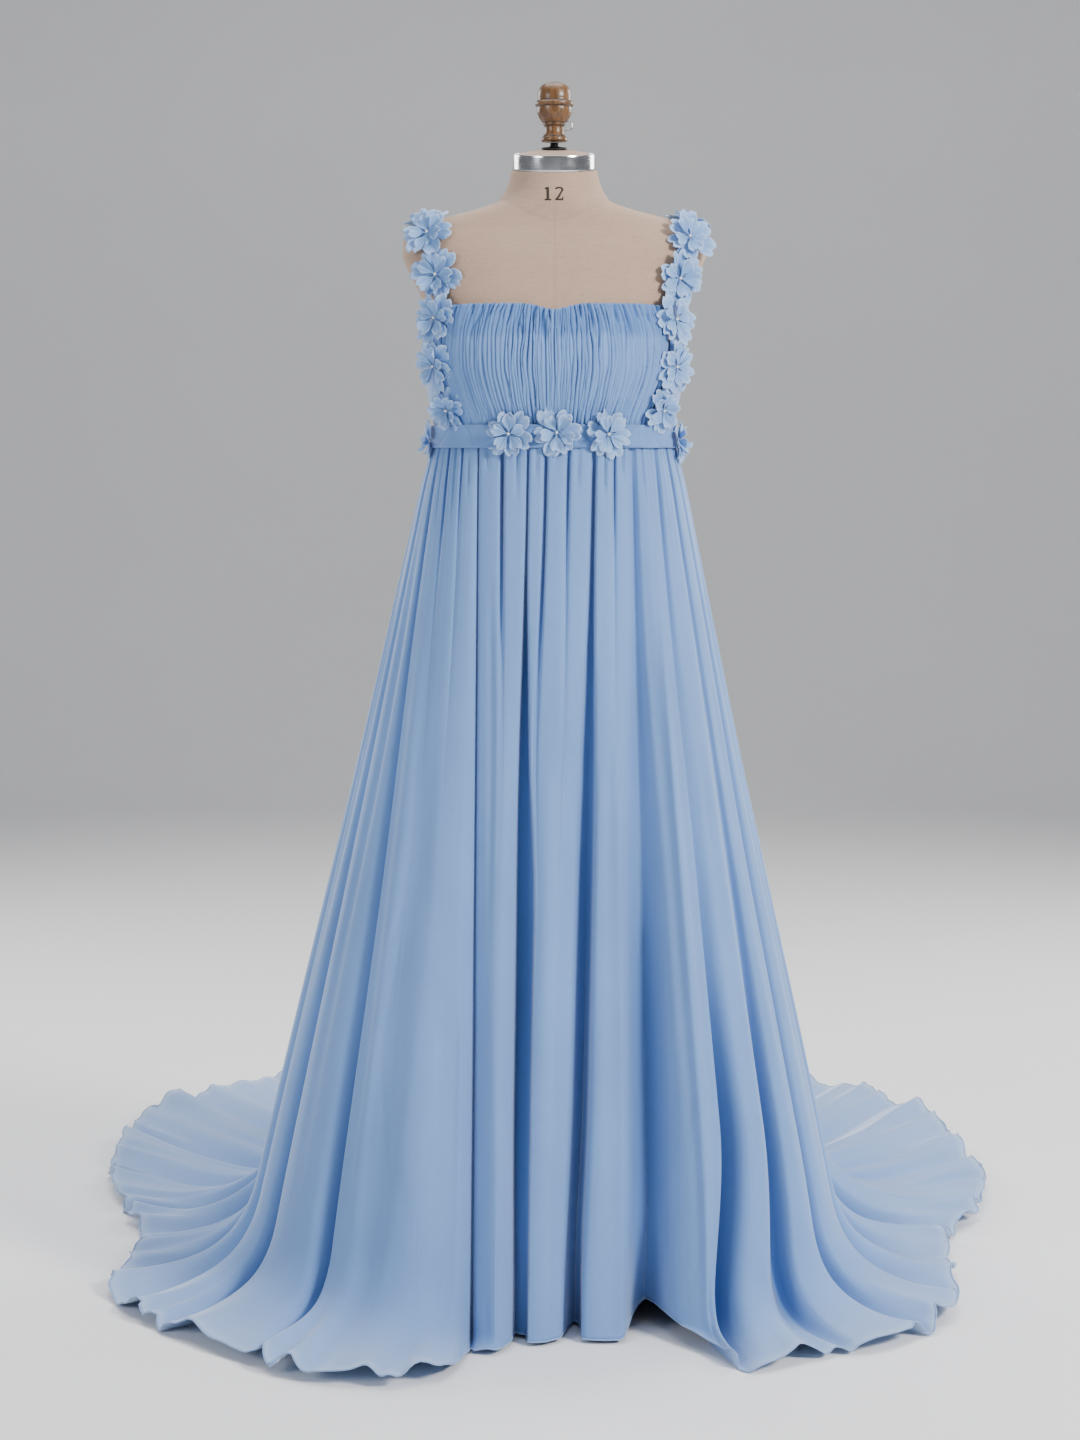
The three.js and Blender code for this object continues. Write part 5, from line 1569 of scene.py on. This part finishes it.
def gather_relief(at, share):
    """Fine gathers under the waist seam, uneven in width, depth and length."""
    rng = np.random.default_rng(23)
    edges = uneven_edges(rng, 0.5, 1.7, GATHERS) * 360 - 180
    depth = rng.uniform(0.4, 1.3, GATHERS)
    reach = rng.uniform(0.025, 0.13, GATHERS)
    gather, part = cell_of(wrapped(at), edges)
    fine = GATHER_DEPTH * mix(0.22, 1, smooth(44, 62, np.abs(wrapped(at) + 6)))
    fade = np.exp(-((share / reach[gather]) ** 1.3))
    return fine * depth[gather] * (np.sin(math.pi * part) ** 0.8 - 1) * fade


def crease_relief(at, share, scale):
    """Soft troughs and ridges, listed one by one; "scale" is millimetres along the cloth for each degree."""
    total = np.zeros(np.broadcast(at, share).shape)
    for number, crease in enumerate(SKIRT_CREASES):
        along = np.clip((share - crease["start"]) / (crease["end"] - crease["start"]), 0, 1)
        line = mix(crease["at"], crease["to"], along)
        line = line + 0.5 * wander(share * 3.2, 300 + number) * smooth(0, 0.5, share)
        rise = smooth(0, 0.22, along) if crease["start"] else 1
        fade = rise * smooth(1, 0.5 if crease["end"] < 1 else 0.999, along)
        half = crease["half"] * (0.75 + 0.25 * wander(share * 4, 400 + number)) * (0.7 + 0.6 * share)
        total -= crease["depth"] * fade * bell(wrapped(at - line) * scale, half)
    return total


def drape_relief(at, share, scale, on_floor):
    """Fine long folds of thin cloth, closer together where it lies on the floor."""
    rng = np.random.default_rng(31)
    total = np.zeros(np.broadcast(at, share).shape)
    for number in range(DRAPES):
        line = rng.uniform(-180, 180)
        start = rng.uniform(0.0, 0.75)
        long = rng.uniform(0.18, 0.55)
        half = rng.uniform(7, 20)
        depth = rng.uniform(0.8, 2.6) * rng.choice([-1, 1])
        slant = rng.uniform(-1.6, 1.6)
        along = (share - start) / long
        middle = line + slant * along + 0.4 * wander(share * 4, 500 + number)
        fade = smooth(0, 0.35, along) * smooth(1, 0.65, along)
        total += depth * fade * bell(wrapped(at - middle) * scale, half)
    return total * (0.1 + 1.3 * on_floor)


def valley_depth(at, share, form):
    """The depth of the valleys, the deepest one counting where two meet."""
    depth = np.zeros(form["loft"].shape)
    for fold in FOLDS:
        uneven = 1 + 0.14 * wander(share * 4, int(abs(fold["at"]) * 7) + 3) * smooth(0.1, 0.4, share)
        profile = fold_profile(fold, wrapped(at - fold["at"]), share)
        depth = np.maximum(depth, fold_depth(fold, share, form) * uneven * profile)
    return depth


def hem_waves(at, share, form):
    """How far the hem's waves and frills lift the cloth, and how far they carry it outwards."""
    ruffle = smooth(0.86, 1, share) * np.clip(form["run"] / 120, 0, 1)
    phase = 2 * math.pi * WAVE_COUNT * np.interp(wrapped(at), HEM_AT, HEM_LENGTH) / HEM_LENGTH[-1]
    loose = phase + 3.4 * wander(phase / 6, 71)
    swell = 0.75 + 0.7 * wander(phase / 8, 72)
    rise = (0.5 - 0.5 * np.cos(loose)) ** 1.3
    lobe = np.abs(np.cos(loose / 2)) ** 0.8 - 0.6
    frill = smooth(0.972, 1, share) * ruffle * (0.5 + 0.5 * wander(phase / 5, 73))
    lifted = ruffle * TRAIN_WAVE * swell * rise + frill * FRILL_HEIGHT * np.sin(FRILL_PACE * loose + 1)
    carried = ruffle * TRAIN_SCALLOP * lobe * swell + frill * FRILL_REACH * np.cos(FRILL_PACE * loose)
    return lifted, carried


def skirt_surface(at, share):
    """Outer points of the skirt for shares (rows) and angles (columns), with the cloth's values and UVs."""
    at, share = at[None, :], share[:, None]
    step = np.gradient(at[0])
    turned_at = strayed(at, share)
    form = skirt_form(turned_at, share)
    on_floor = form["on_floor"]
    scale = np.linalg.norm(np.gradient(form["point"], axis=1), axis=-1) / np.maximum(step, 1e-6)
    depth = valley_depth(at, share, form)
    gathers = gather_relief(at, share)
    detail = gathers + crease_relief(at, share, scale) + drape_relief(at, share, scale, on_floor)
    settled = np.minimum(depth, form["loft"] * on_floor + DEEPEST_FOLD * (1 - on_floor))
    relief = ridge_crown(at, share, on_floor) - settled + detail * (1 - 0.35 * on_floor)
    points = form["point"] + form["outward"] * relief[..., None]
    points[..., 2] -= form["outward"][..., 2] * relief * form["hangs"]
    lifted, carried = hem_waves(turned_at, share, form)
    points[..., :2] += form["ahead"] * carried[..., None]
    points[..., 2] = np.maximum(points[..., 2] + lifted, FLOOR_GAP + 1.2)
    thin = on_floor * (0.36 * smooth(0.72, 1.0, share) + 0.4 * smooth(0.985, 1, share))
    # Painted shade that deepens with the valleys and gathers, partly for doubled cloth; it fades on the floor
    # and at the hanging hem.
    double_and_shade = np.clip(0.78 * smooth(3, 21, depth) + 0.2 * smooth(0.3, 2.2, -gathers), 0, 1)
    double_and_shade = double_and_shade * (1 - 0.7 * on_floor) * (1 - 0.55 * form["hangs"])
    across = np.cumsum(scale * step, axis=1)[-1:]
    uv = np.stack(np.broadcast_arrays(across * MM, share * form["length"] * MM), axis=-1)
    return points, {"thin": thin, "double_and_shade": double_and_shade}, uv


def skirt_columns(low, high, count):
    """Angles between two seams, closer together in the valleys and where the hem is longer."""
    fine = np.linspace(low, high, 2400)
    density = np.interp(wrapped(fine), HEM_AT, np.gradient(HEM_LENGTH)) / 20 + 0.5
    for fold in FOLDS:
        away = wrapped(fine - fold["at"])
        density += 1.2 * bell(away, 4.5) + 3.2 * bell(away, 1.6)
    return evenly_dense(fine, density, count)


def skirt_rows(count):
    """Shares of the length, closer together under the waist and at the hem."""
    fine = np.linspace(0, 1, 2000)
    density = 1 + 3.5 * np.exp(-fine / 0.03) + 2.2 * smooth(0.8, 1, fine)
    return evenly_dense(fine, density, count)


# Each panel: its seams in degrees, the columns of its mesh, and its cut in metres, hem by length, and area.
SKIRT_PANELS = named_rows(
    "piece node low high columns flat area",
    ("skirt_panel_front", "skirt_front", -SIDE_SEAM, SIDE_SEAM, 440, (2.45, 1.35), 1.53),
    ("skirt_panel_right", "skirt_back_right", SIDE_SEAM, 180, 380, (1.95, 1.95), 1.35),
    ("skirt_panel_left", "skirt_back_left", 180, 360 - SIDE_SEAM, 380, (2.05, 1.95), 1.42),
)
SKIRT_ROWS = 100


def build_hem(name, line):
    """The rolled hem along a panel's lower edge."""
    roll = {"Radius": settings().hem_radius, "Sides": 6, "Material": finish_named("chiffon")}
    hem = made_by_nodes(name, point_source(line, joined=True), cord_tree(), roll)
    for key, value in (("thin", 0.35), ("double_and_shade", 0.1)):
        point_values(hem.data, key, np.full(len(hem.data.vertices), value))
    hem.data.uv_layers.new(name="cloth")
    return finish_piece(hem, slot="gown_chiffon")


def build_skirt():
    share = skirt_rows(SKIRT_ROWS)
    thickness = settings().cloth_thickness / MM
    for row in SKIRT_PANELS:
        at = skirt_columns(row["low"], row["high"], row["columns"])
        points, values, uv = skirt_surface(at, share)
        chiffon = finish_named("chiffon")
        made = shell(row["piece"], points, thickness, chiffon, values=values, uv=uv, floor=FLOOR_GAP)
        finish_piece(made, row["node"], slot="gown_chiffon")
        hem = build_hem(row["piece"].replace("panel", "hem"), points[-1] - np.array([0, 0, 0.2]))


# ---------------------------------------------------------------- sewing


def build_stitching():
    """Running stitches on the band's edges, the back's top edge and beside the centre back opening."""
    stitch = settings().stitch_length
    opening = np.linspace(BACK_TOP_Z - 9, BAND_HIGH_Z + 2, 60)
    lines = {
        "stitch_band_high": band_point(np.linspace(-179, 179, 500), np.full(500, BAND_HIGH_Z - 1.6), 1.15),
        "stitch_band_low": band_point(np.linspace(-179, 179, 500), np.full(500, BAND_LOW_Z + 1.6), 1.15),
        "stitch_back_right": bodice_point(np.linspace(66, 178.5, 160), np.full(160, BACK_TOP_Z - 8), 0.6),
        "stitch_back_left": bodice_point(np.linspace(-66, -178.5, 160), np.full(160, BACK_TOP_Z - 8), 0.6),
        "stitch_opening_right": bodice_point(np.full(60, 176.6), opening, 0.7),
        "stitch_opening_left": bodice_point(np.full(60, -176.6), opening, 0.7),
    }
    tree = stitch_tree()
    sewn = {"Pitch": stitch * 1.45, "Length": stitch, "Radius": 0.00022, "Material": finish_named("thread")}
    for name, points in lines.items():
        finish_piece(made_by_nodes(name, point_source(points, joined=True), tree, sewn))


# ---------------------------------------------------------------- studio

CAMERA_PLACE = (0.0, -3.6, 1.10)
CAMERA_TURN = (84.69, 0, 0.3)  # degrees
CAMERA_LENS = 67.05
LIGHTS = named_rows(
    "name place aim size power colour",
    ("key",       (2.9, -2.4, 2.7),  (0, 0, 2.1),   1.1, 222, (1, 0.98, 0.95)),
    ("fill",      (-2.9, -3.0, 2.0), (0, 0, 1.9),   1.6,  64, (0.95, 0.97, 1)),
    ("top",       (0, 0.4, 3.8),     (0, 0.2, 0.5), 3.2,  98, (1, 1, 1)),
    ("left rim",  (-2.6, 2.2, 2.2),  (0, 0.1, 0.8), 1.8,  54, (1, 1, 1)),
    ("right rim", (2.6, 2.2, 2.2),   (0, 0.1, 0.8), 1.8,  68, (1, 1, 1)),
)
FLOOR_HALF = 9000
FLOOR_Z = -0.2
SWEEP_START = 5000  # where the floor starts to turn up into a backdrop
SWEEP_RADIUS = 2600
SKY_COLOUR = (0.60, 0.62, 0.66, 1)
SKY_STRENGTH = 0.32


def aimed(place, aim):
    """The turn of a light at a place, so that it points at its aim."""
    from mathutils import Vector

    return (Vector(aim) - Vector(place)).to_track_quat("-Z", "Y").to_euler()


def build_floor():
    profile = [(-FLOOR_HALF, FLOOR_Z)]
    for a in np.linspace(0, math.pi / 2, 25):
        profile.append((SWEEP_START + SWEEP_RADIUS * math.sin(a), SWEEP_RADIUS * (1 - math.cos(a)) + FLOOR_Z))
    profile.append((SWEEP_START + SWEEP_RADIUS, FLOOR_HALF))
    corners = [(x, y, z) for y, z in profile for x in (-FLOOR_HALF, FLOOR_HALF)]
    strips = [(2 * i, 2 * i + 1, 2 * i + 3, 2 * i + 2) for i in range(len(profile) - 1)]
    new_mesh("studio_floor", corners, strips, finish_named("floor"))


def build_lights():
    for row in LIGHTS:
        light = bpy.data.lights.new(row["name"], "AREA")
        light.shape = "DISK"
        light.size = row["size"]
        light.energy = row["power"]
        light.color = row["colour"]
        lamp = placed(row["name"], light)
        lamp.location = row["place"]
        lamp.rotation_euler = aimed(row["place"], row["aim"])
    world = bpy.data.worlds.new("studio")
    world.use_nodes = True
    sky = world.node_tree.nodes["Background"]
    sky.inputs["Color"].default_value = SKY_COLOUR
    sky.inputs["Strength"].default_value = SKY_STRENGTH
    bpy.context.scene.world = world


def build_camera():
    camera = bpy.data.cameras.new("camera")
    camera.lens = CAMERA_LENS
    camera.sensor_width = 36
    camera.sensor_fit = "AUTO"
    eye = placed("camera", camera)
    eye.location = CAMERA_PLACE
    eye.rotation_euler = [math.radians(angle) for angle in CAMERA_TURN]
    bpy.context.scene.camera = eye


# ---------------------------------------------------------------- operators and panel


class GOWN_OT_stage(bpy.types.Operator):
    """Add the floor, lights and camera."""

    bl_idname = "gown.stage"
    bl_label = "Studio"

    def execute(self, context):
        build_floor()
        build_lights()
        build_camera()
        return {"FINISHED"}


class GOWN_OT_form(bpy.types.Operator):
    """Build the dress form's body, neck collar and printed size."""

    bl_idname = "gown.form"
    bl_label = "Dress form"

    def execute(self, context):
        build_torso()
        build_neck()
        build_number()
        return {"FINISHED"}


class GOWN_OT_finial(bpy.types.Operator):
    """Build the turned finial with its washer and wire hook."""

    bl_idname = "gown.finial"
    bl_label = "Finial"

    def execute(self, context):
        build_finial()
        return {"FINISHED"}


class GOWN_OT_stand(bpy.types.Operator):
    """Build the stand's foot and tube."""

    bl_idname = "gown.stand"
    bl_label = "Stand"

    def execute(self, context):
        build_stand()
        return {"FINISHED"}


class GOWN_OT_bodice(bpy.types.Operator):
    """Build the ruched front and the two plain backs."""

    bl_idname = "gown.bodice"
    bl_label = "Bodice"

    def execute(self, context):
        build_bodice_front()
        build_bodice_backs()
        return {"FINISHED"}


class GOWN_OT_waistband(bpy.types.Operator):
    """Build the band round the waist seam."""

    bl_idname = "gown.waistband"
    bl_label = "Waistband"

    def execute(self, context):
        build_waistband()
        return {"FINISHED"}


class GOWN_OT_straps(bpy.types.Operator):
    """Build the two straps."""

    bl_idname = "gown.straps"
    bl_label = "Straps"

    def execute(self, context):
        build_straps()
        return {"FINISHED"}


class GOWN_OT_skirt(bpy.types.Operator):
    """Build the skirt's three panels and their rolled hem."""

    bl_idname = "gown.skirt"
    bl_label = "Skirt"

    def execute(self, context):
        build_skirt()
        return {"FINISHED"}


class GOWN_OT_flowers(bpy.types.Operator):
    """Build the flowers on the straps and waistband, with their pearls."""

    bl_idname = "gown.flowers"
    bl_label = "Flowers"

    def execute(self, context):
        build_flowers()
        return {"FINISHED"}


class GOWN_OT_stitching(bpy.types.Operator):
    """Build the stitches along the sewn edges."""

    bl_idname = "gown.stitching"
    bl_label = "Stitching"

    def execute(self, context):
        build_stitching()
        return {"FINISHED"}


OPERATORS = (
    GOWN_OT_stage,
    GOWN_OT_stand,
    GOWN_OT_form,
    GOWN_OT_finial,
    GOWN_OT_bodice,
    GOWN_OT_waistband,
    GOWN_OT_skirt,
    GOWN_OT_straps,
    GOWN_OT_flowers,
    GOWN_OT_stitching,
)


class GOWN_PT_panel(bpy.types.Panel):
    """Lists the gown's settings and the pieces that can be built."""

    bl_label = "Gown"
    bl_idname = "GOWN_PT_panel"
    bl_space_type = "VIEW_3D"
    bl_region_type = "UI"
    bl_category = "Gown"

    def draw(self, context):
        data = context.scene.gown
        for name in data.bl_rna.properties.keys():
            if name not in ("rna_type", "name"):
                self.layout.prop(data, name)
        for operator in OPERATORS:
            self.layout.operator(operator.bl_idname)


CLASSES = (GownSettings, *OPERATORS, GOWN_PT_panel)


def register():
    for made in CLASSES:
        bpy.utils.register_class(made)
    bpy.types.Scene.gown = PointerProperty(type=GownSettings)


def unregister():
    del bpy.types.Scene.gown
    for made in reversed(CLASSES):
        bpy.utils.unregister_class(made)


def main():
    register()
    bpy.ops.gown.stage()
    bpy.ops.gown.stand()
    bpy.ops.gown.form()
    bpy.ops.gown.finial()
    bpy.ops.gown.bodice()
    bpy.ops.gown.waistband()
    bpy.ops.gown.skirt()
    bpy.ops.gown.straps()
    bpy.ops.gown.flowers()
    bpy.ops.gown.stitching()


if __name__ == "__main__":
    main()
